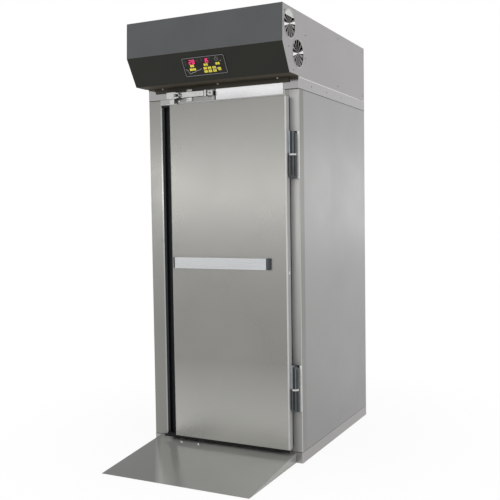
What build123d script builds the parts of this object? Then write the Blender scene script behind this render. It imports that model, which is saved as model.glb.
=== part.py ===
"""Retarder proofer: an insulated cabinet for one rack trolley, with a hood, a hinged door and a ramp.

The origin is the centre of the cabinet's underside. +X is right seen from the front, +Y is
towards the rear and +Z is up, so the door faces -Y. All sizes are in millimetres.
"""

from build123d import *
import os
from math import atan2, cos, degrees, radians, sin, tan

os.makedirs("parts", exist_ok=True)

# Insulated cabinet
cab_w = 980
cab_d = 1140
panel_t = 60
wall_h = 2024
corner_r = 6
seam = 1.5

# Doorway in the front: corner posts and the frame between them
post_w = 83
jamb_w = 50
frame_head_h = 74
header_plate_t = 2
header_plate_r = 20
header_plate_gap = 12

# Technical hood above the cabinet
hood_h = 356
hood_top_reach = 210
hood_crease_reach = 218
hood_foot_reach = 128
hood_crease_drop = 199
hood_foot_lift = 6
lip_d = 105
sheet_t = 2
groove_w = 10
groove_h = 4

# Round fan guards in the hood's sides
vent_r = 80
vent_hole_r = 74
vent_rim = 12
vent_hub_r = 11
vent_plate_t = 1.5
vent_spokes = 20
spoke_w = 3.2
vent_bar_w = 18
vent_facets = 32
weld = 1
front_vent_reach = 115
front_vent_drop = 92
rear_vent_reach = 3
rear_vent_drop = 229

# Fan rotors
motor_r = 19
motor_l = 26
motor_gap = 3
motor_facets = 16
shaft_r = 4
shaft_l = 22
shaft_clear = 0.05
rotor_hub_r = 24
rotor_hub_l = 17
rotor_gap = 1
rotor_blades = 7
rotor_reach = 67
blade_t = 1.6
blade_pitch = 32

# Door leaf, outside the doorway
leaf_t = 44
leaf_left_lap = 31
leaf_right_lap = 30
leaf_top_lap = 34
leaf_lift = 24
leaf_edge_r = 3
skin_t = 3
skin_lip = 15
liner_gap = 8
liner_foot_gap = 12
liner_reach = 28
liner_corner_r = 12

# Grip channel down the door's free edge
grip_w = 53
grip_wall = 6
grip_lip_w = 16
grip_lip_drop = 20
grip_bevel = 16
grip_cap_h = 12

# Door seals
gasket_w = 14
gasket_inset = 4
seal_gap = 0.3
wiper_t = 6

# Bumper bar across the door
bumper_h = 64
bumper_t = 28
bumper_left_gap = 30
bumper_right_gap = 119
bumper_lift = 1037
bumper_ribs = 5
rib_depth = 1.5
bumper_cap_l = 16

# Lift-off hinges on the right post
hinge_low_lift = 341
hinge_high_drop = 322
hinge_half_h = 124
hinge_pivot_d = 33
hinge_pivot_gap = 26
knuckle_r = 24
knuckle_ridges = 20
hinge_plate_t = 4
hinge_plate_w = 30
hinge_wing_t = 4
hinge_pin_r = 8
washer_h = 11
washer_r = 20
washer_facets = 24
hinge_chamfer = 18
hinge_brow_w = 32
hinge_run = 0.05
pin_l = 86
pin_room = 2

# Door closer on the frame's head, and its striker on the door
closer_inset = 105
closer_w = 250
closer_lift = 54
closer_plate_h = 76
closer_plate_t = 3
closer_body_gap = 58
closer_body_l = 135
closer_body_h = 36
closer_body_t = 34
closer_rib = 1.5
closer_pivot_gap = 12
closer_arm_r = 10
boss_facets = 16
closer_pin_r = 5
yoke_t = 7
fork_t = 12
fork_wall = 4
fork_gap = 2.5
roller_gap = 41
roller_d = 34
roller_r = 8.5
roller_pin_r = 4
roller_h = 12
striker_block_w = 50
striker_block_h = 42
striker_block_t = 26
striker_nose_h = 24
striker_plate_t = 4

# Ramp in front of the door
ramp_inset = 40
ramp_l = 595
ramp_h = 56
ramp_plate = 3
ramp_ribs = 3

# Control panel on the hood's lower front facet
bezel_w = 266
bezel_h = 107
bezel_t = 4
bezel_r = 9
bezel_down = 88
bezel_rim_w = 1.6
bezel_rim_h = 0.6
pocket_floor = 0.6
key_clear = 0.4
key_travel = 0.6
key_stop = 0.3
key_proud = 0.9
key_edge_r = 1.2
block_key = (21, 13.5)
pair_key = (11, 13)
phase_key = (17, 13)
start_key = (17, 17)

# Air treatment inside the chamber
duct_d = 120
duct_plate_t = 2
slot_l = 90
slot_w = 14
slot_pitch = 145
slot_rows = 8
slot_x = 330
slot_z = 260
inlet_r = 130
inlet_hub_r = 30
inlet_drop = 284
coil_fin_t = 2
evaporator_w = 520
evaporator_h = 320
evaporator_drop = 430
coil_t = 70
fin_depth = 9
condenser_l = 380
condenser_h = 260
condenser_x = 150
condenser_y = -330
tube_r = 6
tube_facets = 8
pipe_facets = 12
heater_rod_r = 6
heater_w = 360
heater_drop = 290
heater_pitch = 45
heater_rods = 3
steam_r = 12
steam_x = 300
steam_low = 300
steam_high = 960
guide_h = 90
guide_t = 18
guide_l = 820
guide_z = (240, 900)
compressor_r = 85
compressor_h = 200
compressor_facets = 24
compressor_x = -210
compressor_y = 220
foot_t = 6

# Places worked out from the sizes above
half_w = cab_w / 2
front = -cab_d / 2
rear = cab_d / 2
floor_z = panel_t
head_z = floor_z + wall_h
cab_h = head_z + panel_t
overall_h = cab_h + hood_h
wall_y = front + panel_t
wall_back = rear - panel_t
jamb_x = half_w - post_w
door_x = jamb_x - jamb_w
doorway_top = head_z - frame_head_h
doorway_h = doorway_top - floor_z


def save(piece, name):
    """Label a finished piece and write its STEP file."""
    piece.part.label = name
    export_step(piece.part, f"parts/{name}.step")


def out(distance):
    """Give the y of a point that stands this far out from the cabinet's front."""
    return front - distance


def meet(a, b, c, d):
    """Give the point where the lines a-b and c-d cross, in 2-D."""
    (x1, y1), (x2, y2), (x3, y3), (x4, y4) = a, b, c, d
    k = ((x1 - x3) * (y3 - y4) - (y1 - y3) * (x3 - x4)) / ((x1 - x2) * (y3 - y4) - (y1 - y2) * (x3 - x4))
    return (x1 + k * (x2 - x1), y1 + k * (y2 - y1))


def inner_side(path, thickness):
    """Offset a bent sheet's outer line by its thickness, to the right of its direction."""
    shifted = []
    for (x1, y1), (x2, y2) in zip(path, path[1:]):
        turn = atan2(y2 - y1, x2 - x1)
        step = (thickness * sin(turn), -thickness * cos(turn))
        shifted.append(((x1 + step[0], y1 + step[1]), (x2 + step[0], y2 + step[1])))
    bends = [meet(*a, *b) for a, b in zip(shifted, shifted[1:])]
    return [shifted[0][0], *bends, shifted[-1][1]]


def sheet(path, thickness):
    """Give the closed outline of a bent sheet from its outer line."""
    return path + inner_side(path, thickness)[::-1]


# Cabinet

def slab(name, z):
    """Make a floor or ceiling panel with bevelled corners and chamfered joint edges."""
    with BuildPart() as panel:
        with BuildSketch(Plane.XY.offset(z)):
            Rectangle(cab_w, cab_d)
        extrude(amount=panel_t)
        chamfer(panel.edges().filter_by(Axis.Z), corner_r / 2)
        joint = panel.faces().sort_by(Axis.Z)[-1 if z == 0 else 0]
        chamfer(joint.edges(), seam)
    save(panel, name)


slab("floor_panel", 0)
slab("ceiling_panel", head_z)

for name, side in (("left_wall", -1), ("right_wall", 1)):
    with BuildPart() as wall:
        with BuildSketch(Plane.XY.offset(floor_z)):
            with Locations((side * (half_w - panel_t / 2), (wall_y + wall_back) / 2)):
                Rectangle(panel_t, wall_back - wall_y)
        extrude(amount=wall_h)
    save(wall, name)

with BuildPart() as rear_wall:
    with BuildSketch(Plane.XY.offset(floor_z)):
        with Locations((0, rear - panel_t / 2)):
            Rectangle(cab_w, panel_t)
    extrude(amount=wall_h)
    upright = rear_wall.edges().filter_by(Axis.Z)
    fillet(upright.group_by(Axis.Y)[-1], corner_r)
    chamfer(upright.group_by(Axis.Y)[0], seam)
save(rear_wall, "rear_wall")

for name, side in (("left_post", -1), ("right_post", 1)):
    with BuildPart() as post:
        with BuildSketch(Plane.XY.offset(floor_z)):
            with Locations((side * (half_w - post_w / 2), front + panel_t / 2)):
                Rectangle(post_w, panel_t)
        extrude(amount=wall_h)
        outer = post.edges().filter_by(Axis.Z).group_by(Axis.Y)[0].sort_by(Axis.X)
        fillet(outer[0 if side < 0 else -1], corner_r)
    save(post, name)

with BuildPart() as door_frame:
    with BuildSketch(Plane.XZ.offset(-front)):
        with Locations((0, floor_z + wall_h / 2)):
            Rectangle(2 * jamb_x, wall_h)
        with Locations((0, floor_z + doorway_h / 2)):
            Rectangle(2 * door_x, doorway_h, mode=Mode.SUBTRACT)
    extrude(amount=-panel_t)
save(door_frame, "door_frame")

with BuildPart() as trolley_guides:
    for z in guide_z:
        for side in (-1, 1):
            with BuildSketch(Plane.XY.offset(z)):
                with Locations((side * (half_w - panel_t - guide_t / 2), (wall_y + rear - panel_t - duct_d) / 2)):
                    Rectangle(guide_t, guide_l)
            extrude(amount=guide_h)
    inner = trolley_guides.edges().filter_by(Axis.Y).filter_by(lambda e: abs(e.center().X) < half_w - panel_t - guide_t / 2)
    chamfer(inner, guide_t / 3)
save(trolley_guides, "trolley_guides")

# Ramp: a sloped tread on two skirts and inner ribs, closed at the back
ramp_w = cab_w - 2 * ramp_inset
with BuildPart() as ramp:
    tread = [(front, 0), (front, ramp_h), (out(ramp_l), 0)]
    with BuildSketch(Plane.YZ):
        Polygon(*tread, align=None)
    extrude(amount=ramp_w / 2, both=True)
    drop = ramp_plate / cos(atan2(ramp_h, ramp_l))
    bay = (ramp_w - (ramp_ribs + 2) * ramp_plate) / (ramp_ribs + 1)
    hollow_back = front - ramp_plate
    hollow_top = ramp_h - drop - ramp_plate * ramp_h / ramp_l
    hollow_nose = hollow_back - hollow_top * ramp_l / ramp_h
    for i in range(ramp_ribs + 1):
        start = -ramp_w / 2 + ramp_plate + i * (bay + ramp_plate)
        with BuildSketch(Plane.YZ.offset(start)):
            Polygon((hollow_back, 0), (hollow_back, hollow_top), (hollow_nose, 0), align=None)
        extrude(amount=bay, mode=Mode.SUBTRACT)
save(ramp, "ramp")

# Hood

foot_z = cab_h + hood_foot_lift
foot = (out(hood_foot_reach), foot_z)
crease = (out(hood_crease_reach), overall_h - hood_crease_drop)
brow = (out(hood_top_reach), overall_h)
lip_end = (foot[0] + lip_d, foot_z)
fascia_path = [lip_end, foot, crease, brow]
fascia_inner = inner_side(fascia_path, sheet_t)
cover_path = [(brow[0] + sheet_t, overall_h), (rear, overall_h), (rear, cab_h)]
cover_inner = inner_side(cover_path, sheet_t)
hood_in = half_w - vent_plate_t

with BuildPart() as front_fascia:
    with BuildSketch(Plane.YZ):
        Polygon(*sheet(fascia_path, sheet_t), align=None)
    extrude(amount=half_w, both=True)
save(front_fascia, "front_fascia")

with BuildPart() as hood_cover:
    with BuildSketch(Plane.YZ):
        Polygon(*sheet(cover_path, sheet_t), align=None)
    extrude(amount=hood_in, both=True)
    with BuildSketch(Plane.XZ.offset(-rear)):
        with Locations((0, (cab_h + overall_h) / 2)):
            with GridLocations(slot_l * 1.6, 3 * slot_w, 4, 5):
                Rectangle(slot_l, slot_w)
    extrude(amount=sheet_t, mode=Mode.SUBTRACT)
save(hood_cover, "hood_cover")

# The fascia's inner bends, the cover's inner edge and the ceiling bound each side plate
side_outline = [
    fascia_inner[1],
    fascia_inner[2],
    meet(fascia_inner[2], fascia_inner[3], cover_inner[0], cover_inner[1]),
    cover_inner[1],
    (cover_inner[1][0], cab_h),
    (front, cab_h),
    (front, fascia_inner[1][1]),
]
vent_places = (
    (out(front_vent_reach), overall_h - front_vent_drop),
    (out(rear_vent_reach), overall_h - rear_vent_drop),
)

for name, side in (("hood_left_side", -1), ("hood_right_side", 1)):
    with BuildPart() as plate:
        with BuildSketch(Plane.YZ.offset(side * hood_in)):
            Polygon(*side_outline, align=None)
            with Locations(*vent_places):
                RegularPolygon(vent_hole_r, vent_facets, mode=Mode.SUBTRACT)
        extrude(amount=-side * sheet_t)
    save(plate, name)

# The tray closes the hood's underside, with a groove across it, and rests on the ceiling panel
with BuildPart() as hood_tray:
    with BuildSketch(Plane.YZ):
        with BuildLine():
            rest_y = front + 3 * groove_w
            Polyline(
                (rest_y, cab_h),
                (front, cab_h),
                (front, foot_z),
                (lip_end[0] + groove_w, foot_z),
                (lip_end[0] + groove_w, foot_z + groove_h),
                (lip_end[0] - groove_w, foot_z + groove_h),
                (lip_end[0] - groove_w, foot_z + sheet_t),
                (lip_end[0] - 2 * groove_w, foot_z + sheet_t),
                (lip_end[0] - 2 * groove_w, foot_z + sheet_t + groove_h),
                (lip_end[0] + groove_w + sheet_t, foot_z + sheet_t + groove_h),
                (lip_end[0] + groove_w + sheet_t, foot_z + sheet_t),
                (front + sheet_t, foot_z + sheet_t),
                (front + sheet_t, cab_h + sheet_t),
                (rest_y, cab_h + sheet_t),
                close=True,
            )
        make_face()
    extrude(amount=hood_in - sheet_t, both=True)
save(hood_tray, "hood_tray")


def guard(reach, hub, rim, count):
    """Draw a round finger guard: rim, hub, thin spokes and a level bar that widens outwards."""
    RegularPolygon(reach, vent_facets)
    RegularPolygon(reach - rim, vent_facets, mode=Mode.SUBTRACT)
    RegularPolygon(hub, motor_facets)
    span = reach - rim - hub + 2 * weld
    with PolarLocations(hub + span / 2 - weld, count):
        Rectangle(span, spoke_w)
    bar_end = reach - rim / 2
    for side in (-1, 1):
        Polygon(
            (0, -spoke_w),
            (side * bar_end, -vent_bar_w / 2),
            (side * bar_end, vent_bar_w / 2),
            (0, spoke_w),
            align=None,
        )


# A fan's motor hangs behind its guard: a boss and then the casing, each from a depth, with its length
motor_steps = ((0, motor_gap, vent_hub_r), (motor_gap, motor_l, motor_r))
motor_back = motor_gap + motor_l


def side_plane(side, x, place):
    """Give a plane facing outwards on the hood's left or right side."""
    return Plane(origin=(x, place[0], place[1]), x_dir=(0, 1, 0), z_dir=(side, 0, 0))


for name, place in (("front_vent_grille", vent_places[0]), ("rear_vent_grille", vent_places[1])):
    with BuildPart() as grille:
        face = side_plane(1, hood_in, place)
        with BuildSketch(face):
            guard(vent_r, vent_hub_r, vent_rim, vent_spokes)
        extrude(amount=vent_plate_t)
        for start, length, radius in motor_steps:
            with BuildSketch(face.offset(-start)):
                RegularPolygon(radius, motor_facets)
            extrude(amount=-length)
        with BuildSketch(face.offset(-motor_back)):
            Circle(shaft_r)
        extrude(amount=-shaft_l)
    save(grille, name)

with BuildPart() as left_vent_grilles:
    for place in vent_places:
        with BuildSketch(side_plane(-1, -hood_in, place)):
            guard(vent_r, vent_hub_r, vent_rim, vent_spokes)
        extrude(amount=vent_plate_t)
save(left_vent_grilles, "left_vent_grilles")


def rotor(name, face, reach, depth):
    """Make a fan rotor that turns on its shaft, behind a plane that faces out of the fan."""
    axis = face.z_dir
    with BuildPart() as fan:
        with BuildSketch(face.offset(-depth)):
            RegularPolygon(rotor_hub_r, 2 * rotor_blades)
            Circle(shaft_r + shaft_clear, mode=Mode.SUBTRACT)
        extrude(amount=-rotor_hub_l)
        middle = face.origin - axis * (depth + rotor_hub_l / 2)
        for i in range(rotor_blades):
            turn = i * 360 / rotor_blades
            radial = face.x_dir.rotate(Axis((0, 0, 0), axis), turn)
            flat = axis.rotate(Axis((0, 0, 0), radial), blade_pitch + 90)
            root = rotor_hub_r - 2 * blade_t
            chord = rotor_hub_l - 2 * rotor_gap
            with BuildSketch(Plane(origin=middle, x_dir=radial, z_dir=flat)):
                Polygon((root, -chord / 2), (reach, -chord), (reach, chord), (root, chord / 2), align=None)
            extrude(amount=blade_t / 2, both=True)
    save(fan, name)


rotor("front_vent_fan", side_plane(1, hood_in, vent_places[0]), rotor_reach, motor_back + rotor_gap)
rotor("rear_vent_fan", side_plane(1, hood_in, vent_places[1]), rotor_reach, motor_back + rotor_gap)


def finned_coil(name, base, length, width, height, count, stand):
    """Make a finned coil: fins round a dense core, tube ends and the end plates that carry it.

    base is the plane of the first end plate, and stand is how far the end plates reach past
    the coil along the plane's own x.
    """
    pitch = (length - coil_fin_t) / (count - 1)
    with BuildPart() as coil:
        with BuildSketch(base):
            Rectangle(width - 2 * fin_depth, height - 2 * fin_depth)
        extrude(amount=length)
        for i in range(count):
            with BuildSketch(base.offset(i * pitch)):
                Rectangle(width, height)
                if i in (0, count - 1):
                    with Locations((width / 2 + stand / 2, 0)):
                        Rectangle(stand, height)
            extrude(amount=coil_fin_t)
        with BuildSketch(base.offset(-tube_r)):
            with GridLocations(width / 2, height / 3, 2, 3):
                RegularPolygon(tube_r, tube_facets)
        extrude(amount=length + 2 * tube_r)
    save(coil, name)


finned_coil(
    "condenser",
    Plane(origin=(condenser_x, condenser_y + condenser_l, cab_h + condenser_h / 2), x_dir=(1, 0, 0), z_dir=(0, -1, 0)),
    condenser_l, coil_t, condenser_h, 7, coil_t / 4,
)

with BuildPart() as compressor:
    with BuildSketch(Plane.XY.offset(cab_h)):
        with Locations((compressor_x, compressor_y)):
            RectangleRounded(2.6 * compressor_r, 2 * compressor_r, compressor_r / 4)
    extrude(amount=foot_t)
    with BuildSketch(Plane.XY.offset(cab_h + foot_t)):
        with Locations((compressor_x, compressor_y)):
            RegularPolygon(compressor_r, compressor_facets)
    extrude(amount=compressor_h)
    dome = compressor.faces().sort_by(Axis.Z)[-1].edges()
    chamfer(dome, compressor_r * 0.35)
save(compressor, "compressor")

# Door: the leaf's plan outline leaves room for the grip channel at its free edge

leaf_right = jamb_x + leaf_right_lap
leaf_left = -door_x - leaf_left_lap
leaf_z = floor_z + leaf_lift
leaf_top = doorway_top + leaf_top_lap
leaf_h = leaf_top - leaf_z
gasket_t = hinge_plate_t * 4
leaf_back = gasket_t
leaf_front = leaf_back + leaf_t
lip_front = leaf_front - grip_lip_drop
lip_left = leaf_left + grip_bevel
lip_right = lip_left + grip_lip_w
steel_left = lip_right + grip_w
channel_right = steel_left + skin_lip

with BuildPart() as door_leaf:
    with BuildSketch(Plane.XY.offset(leaf_z)):
        Polygon(
            (channel_right, out(leaf_back)),
            (leaf_right, out(leaf_back)),
            (leaf_right, out(leaf_front)),
            (steel_left, out(leaf_front)),
            (steel_left, out(leaf_front - skin_t)),
            (channel_right, out(leaf_front - skin_t)),
            align=None,
        )
    extrude(amount=leaf_h)
    rim = door_leaf.faces().sort_by(Axis.Y)[0].edges()
    fillet(rim.sort_by(Axis.X)[-1], leaf_edge_r)
    chamfer(door_leaf.faces().sort_by(Axis.Y)[0].edges().filter_by(Axis.X), leaf_edge_r / 2)
save(door_leaf, "door_leaf")

with BuildPart() as grip_profile:
    with BuildSketch(Plane.XY.offset(leaf_z + grip_cap_h)):
        floor_d = leaf_back + grip_wall
        Polygon(
            (channel_right, out(leaf_back)),
            (leaf_left, out(leaf_back)),
            (lip_left, out(lip_front)),
            (lip_right, out(lip_front)),
            (lip_right, out(floor_d)),
            (channel_right - grip_wall, out(floor_d)),
            (channel_right - grip_wall, out(leaf_front - skin_t)),
            (channel_right, out(leaf_front - skin_t)),
            align=None,
        )
    extrude(amount=leaf_h - 2 * grip_cap_h)
save(grip_profile, "grip_profile")

with BuildPart() as grip_caps:
    for z in (leaf_z, leaf_top - grip_cap_h):
        with BuildSketch(Plane.XY.offset(z)):
            Polygon(
                (channel_right, out(leaf_back)),
                (leaf_left, out(leaf_back)),
                (lip_left, out(lip_front)),
                (lip_left + grip_bevel / 2, out(leaf_front)),
                (steel_left, out(leaf_front)),
                (steel_left, out(leaf_front - skin_t)),
                (channel_right, out(leaf_front - skin_t)),
                align=None,
            )
        extrude(amount=grip_cap_h)
save(grip_caps, "grip_caps")

liner_x = door_x - liner_gap
liner_z = floor_z + liner_foot_gap
liner_top = doorway_top - liner_gap
with BuildPart() as door_liner:
    with BuildSketch(Plane.XZ.offset(-out(leaf_back))):
        with Locations((0, (liner_z + liner_top) / 2)):
            RectangleRounded(2 * liner_x, liner_top - liner_z, liner_corner_r)
    extrude(amount=-(leaf_back + liner_reach))
save(door_liner, "door_liner")

# The gasket closes on the frame, and the wiper under the liner closes on the floor
seal_left = leaf_left + gasket_inset
seal_right = leaf_right - gasket_inset
with BuildPart() as door_seals:
    with BuildSketch(Plane.XZ.offset(-out(leaf_back))):
        with Locations(((seal_left + seal_right) / 2, leaf_z + leaf_h / 2)):
            outer_w = seal_right - seal_left
            outer_h = leaf_h - 2 * gasket_inset
            RectangleRounded(outer_w, outer_h, gasket_w)
        with Locations(((seal_left + seal_right) / 2, leaf_z + leaf_h / 2 - gasket_w)):
            Rectangle(outer_w - 2 * gasket_w, outer_h, mode=Mode.SUBTRACT)
    extrude(amount=-(gasket_t - seal_gap))
    with BuildSketch(Plane.XY.offset(liner_z)):
        with Locations((0, front + liner_reach / 2)):
            Rectangle(2 * (liner_x - liner_corner_r), wiper_t)
    extrude(amount=-(liner_foot_gap - seal_gap))
save(door_seals, "door_seals")

# Bumper bar: a ribbed profile between two rounded caps
bumper_start = steel_left + bumper_left_gap
bumper_stop = leaf_right - bumper_right_gap
bumper_z = leaf_z + bumper_lift
with BuildPart() as bumper_rail:
    with BuildSketch(Plane.YZ.offset(bumper_start)):
        with Locations((out(leaf_front + bumper_t / 2), bumper_z)):
            Rectangle(bumper_t, bumper_h)
        rib = bumper_h / bumper_ribs
        groove = rib / 3
        for i in range(1, bumper_ribs):
            with Locations((out(leaf_front + bumper_t - rib_depth / 2), bumper_z - bumper_h / 2 + i * rib)):
                Rectangle(rib_depth, groove, mode=Mode.SUBTRACT)
    extrude(amount=bumper_stop - bumper_start)
    nose = bumper_rail.edges().filter_by(Axis.X).group_by(Axis.Y)[0]
    fillet(nose, rib_depth * 0.6)
save(bumper_rail, "bumper_rail")

with BuildPart() as bumper_caps:
    for side, start in ((-1, bumper_start), (1, bumper_stop)):
        with BuildSketch(Plane.XY.offset(bumper_z - bumper_h / 2)):
            with BuildLine():
                inner_nose = (start, out(leaf_front + bumper_t))
                tip = (start + side * bumper_cap_l, out(leaf_front + bumper_t - bumper_cap_l))
                Line((start, out(leaf_front)), inner_nose)
                JernArc(inner_nose, (side, 0), bumper_cap_l, side * 90)
                Polyline(tip, (start + side * bumper_cap_l, out(leaf_front)), (start, out(leaf_front)))
            make_face()
        extrude(amount=bumper_h)
save(bumper_caps, "bumper_caps")

# Hinges: the lower half with its pin is on the post, the upper half turns with the door

pivot_x = leaf_right + hinge_pivot_gap
pivot_y = out(hinge_pivot_d)
hinge_h = 2 * hinge_half_h + washer_h
hinge_z = (leaf_z + hinge_low_lift, leaf_top - hinge_high_drop)


def knuckle(left, back):
    """Draw a ridged knuckle about the pivot, and a web towards left and back."""
    with Locations((pivot_x, pivot_y)):
        RegularPolygon(knuckle_r, knuckle_ridges)
    if left < pivot_x - knuckle_r:
        with Locations(((left + pivot_x) / 2, pivot_y)):
            Rectangle(pivot_x - left, 1.2 * knuckle_r)
    if back > pivot_y:
        with Locations((pivot_x, (pivot_y + back) / 2)):
            Rectangle(knuckle_r, back - pivot_y)


with BuildPart() as hinge_post_leaves:
    for middle in hinge_z:
        low = middle - hinge_h / 2
        with BuildSketch(Plane.XZ.offset(-out(0))):
            with Locations((pivot_x, middle)):
                Rectangle(hinge_plate_w, hinge_h)
        extrude(amount=hinge_plate_t)
        with BuildSketch(Plane.XY.offset(low)):
            knuckle(pivot_x, out(hinge_plate_t))
        extrude(amount=hinge_half_h)
        nose = out(hinge_pivot_d + knuckle_r + 1)
        with BuildSketch(Plane.YZ.offset(pivot_x)):
            Polygon((nose, low - 1), (nose, low + hinge_chamfer), (nose + 2 * hinge_chamfer, low - 1), align=None)
        extrude(amount=hinge_plate_w, both=True, mode=Mode.SUBTRACT)
save(hinge_post_leaves, "hinge_post_leaves")

with BuildPart() as hinge_pins:
    for middle in hinge_z:
        seat = middle - hinge_h / 2 + hinge_half_h
        with BuildSketch(Plane.XY.offset(seat)):
            with Locations((pivot_x, pivot_y)):
                RegularPolygon(washer_r, washer_facets)
        extrude(amount=washer_h)
        with BuildSketch(Plane.XY.offset(seat + washer_h)):
            with Locations((pivot_x, pivot_y)):
                Circle(hinge_pin_r)
        extrude(amount=pin_l)
save(hinge_pins, "hinge_pins")

with BuildPart() as hinge_door_leaves:
    for middle in hinge_z:
        base_z = middle - hinge_h / 2 + hinge_half_h + washer_h
        with BuildSketch(Plane.XY.offset(base_z + seal_gap)):
            knuckle(leaf_right, pivot_y)
            with Locations((leaf_right + hinge_wing_t / 2, out(leaf_back + leaf_t / 2))):
                Rectangle(hinge_wing_t, leaf_t - 2 * leaf_edge_r)
        extrude(amount=hinge_half_h - seal_gap)
        with BuildSketch(Plane.XY.offset(base_z)):
            with Locations((pivot_x, pivot_y)):
                Circle(hinge_pin_r + hinge_run)
        extrude(amount=pin_l + pin_room, mode=Mode.SUBTRACT)
        # The brow slopes down to the right above the pin
        brow_x = pivot_x + knuckle_r
        brow_z = base_z + hinge_half_h
        with BuildSketch(Plane.XZ.offset(-pivot_y)):
            Polygon(
                (brow_x + weld, brow_z + weld),
                (brow_x - hinge_brow_w, brow_z + weld),
                (brow_x - hinge_brow_w, brow_z),
                (brow_x + weld, brow_z - hinge_chamfer),
                align=None,
            )
        extrude(amount=2 * knuckle_r, both=True, mode=Mode.SUBTRACT)
save(hinge_door_leaves, "hinge_door_leaves")

# Bright plate on the frame's head, beside the closer

closer_z = leaf_top + closer_lift
closer_x = leaf_left + closer_inset
plate_end = closer_x + closer_w
with BuildPart() as header_plate:
    with BuildSketch(Plane.XZ.offset(-out(0))):
        with BuildLine():
            low = closer_z - closer_plate_h / 2
            high = cab_h - header_plate_t
            FilletPolyline(
                (plate_end + header_plate_t, low),
                (jamb_x - header_plate_gap, low),
                (jamb_x - header_plate_gap, high),
                (plate_end + header_plate_t, high),
                (plate_end + header_plate_t, low),
                radius=header_plate_r / 4,
            )
        make_face()
    extrude(amount=header_plate_t)
save(header_plate, "header_plate")

# Closer on the frame's head: plate, hydraulic body with its yoke, and the forked arm

closer_back = closer_plate_t
body_mid_d = closer_back + closer_body_t / 2
body_left = closer_x + closer_body_gap
body_right = body_left + closer_body_l
arm_x = body_left - closer_pivot_gap
roller_x = body_left - roller_gap

with BuildPart() as closer_plate:
    with BuildSketch(Plane.XZ.offset(-out(0))):
        with Locations((closer_x + closer_w / 2, closer_z)):
            Rectangle(closer_w, closer_plate_h)
    extrude(amount=closer_plate_t)
    chamfer(closer_plate.edges().filter_by(Axis.Y), closer_plate_t)
save(closer_plate, "closer_plate")

with BuildPart() as closer_body:
    with BuildSketch(Plane.YZ.offset(body_left)):
        with Locations((out(body_mid_d), closer_z)):
            Rectangle(closer_body_t, closer_body_h)
        for lift in (-closer_body_h / 6, closer_body_h / 6):
            with Locations((out(closer_back + closer_body_t - closer_rib / 2), closer_z + lift)):
                Rectangle(closer_rib, closer_rib, mode=Mode.SUBTRACT)
    extrude(amount=closer_body_l)
    chamfer(closer_body.edges().filter_by(Axis.X).group_by(Axis.Y)[0].sort_by(Axis.Z)[0], closer_rib * 2)
    chamfer(closer_body.edges().filter_by(Axis.X).group_by(Axis.Y)[0].sort_by(Axis.Z)[-1], closer_rib * 2)
    with BuildSketch(Plane.XZ.offset(-out(closer_back))):
        with Locations((body_left + closer_body_h / 2 + yoke_t, closer_z)):
            Rectangle(closer_body_h, closer_plate_h - 2 * closer_plate_t)
    extrude(amount=yoke_t)
    with BuildSketch(Plane.YZ.offset(body_right)):
        with Locations((out(body_mid_d), closer_z)):
            RegularPolygon(closer_body_t / 4, boss_facets)
    extrude(amount=closer_body_t / 2 + 2 * yoke_t)
    with BuildSketch(Plane.YZ.offset(body_right + yoke_t / 2)):
        with Locations((out(body_mid_d), closer_z)):
            Rectangle(closer_body_t, closer_body_h)
    extrude(amount=2 * yoke_t)
    with BuildSketch(Plane.YZ.offset(body_right + closer_body_t / 2 + yoke_t)):
        with Locations((out(body_mid_d), closer_z)):
            Rectangle(closer_body_t * 0.7, closer_body_h * 0.75)
    extrude(amount=closer_body_t * 0.85)
    # The yoke narrows towards the arm's pin
    with BuildSketch(Plane.XZ.offset(-out(body_mid_d - closer_arm_r))):
        Polygon(
            (body_left, closer_z + closer_body_h / 2),
            (body_left, closer_z - closer_body_h / 2),
            (arm_x - closer_arm_r, closer_z - closer_body_h / 3),
            (arm_x - closer_arm_r, closer_z + closer_body_h / 3),
            align=None,
        )
    extrude(amount=2 * closer_arm_r)
    arm_room = fork_t + 2 * fork_gap
    with BuildSketch(Plane.XY.offset(closer_z - arm_room / 2)):
        with Locations((arm_x, out(body_mid_d))):
            RegularPolygon(closer_arm_r + fork_gap, boss_facets)
            Rectangle(2 * closer_arm_r, 2 * closer_arm_r + 1, align=(Align.MAX, Align.CENTER))
    extrude(amount=arm_room, mode=Mode.SUBTRACT)
    with BuildSketch(Plane.XY.offset(closer_z - arm_room / 2)):
        with Locations((arm_x, out(body_mid_d))):
            Circle(closer_pin_r)
    extrude(amount=arm_room)
save(closer_body, "closer_body")

fork_r = roller_r + fork_gap
fork_out = fork_r + fork_wall
with BuildPart() as closer_arm:
    with BuildSketch(Plane.XY.offset(closer_z - fork_t / 2)):
        with Locations((roller_x, out(roller_d - fork_out / 2))):
            Rectangle(2 * fork_out, fork_out)
        with Locations((roller_x, out(roller_d + fork_wall))):
            Rectangle(2 * fork_out, 2 * fork_wall)
        with Locations((arm_x, out(body_mid_d))):
            RegularPolygon(closer_arm_r, boss_facets)
        with Locations(((arm_x + roller_x) / 2, out(roller_d - fork_out + fork_wall))):
            Rectangle(arm_x - roller_x, 2 * fork_wall)
        with Locations((roller_x, out(roller_d + fork_wall))):
            Rectangle(2 * fork_r, 2 * (fork_r + fork_wall), mode=Mode.SUBTRACT)
        with Locations((arm_x, out(body_mid_d))):
            Circle(closer_pin_r + shaft_clear, mode=Mode.SUBTRACT)
    extrude(amount=fork_t)
save(closer_arm, "closer_arm")

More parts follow.
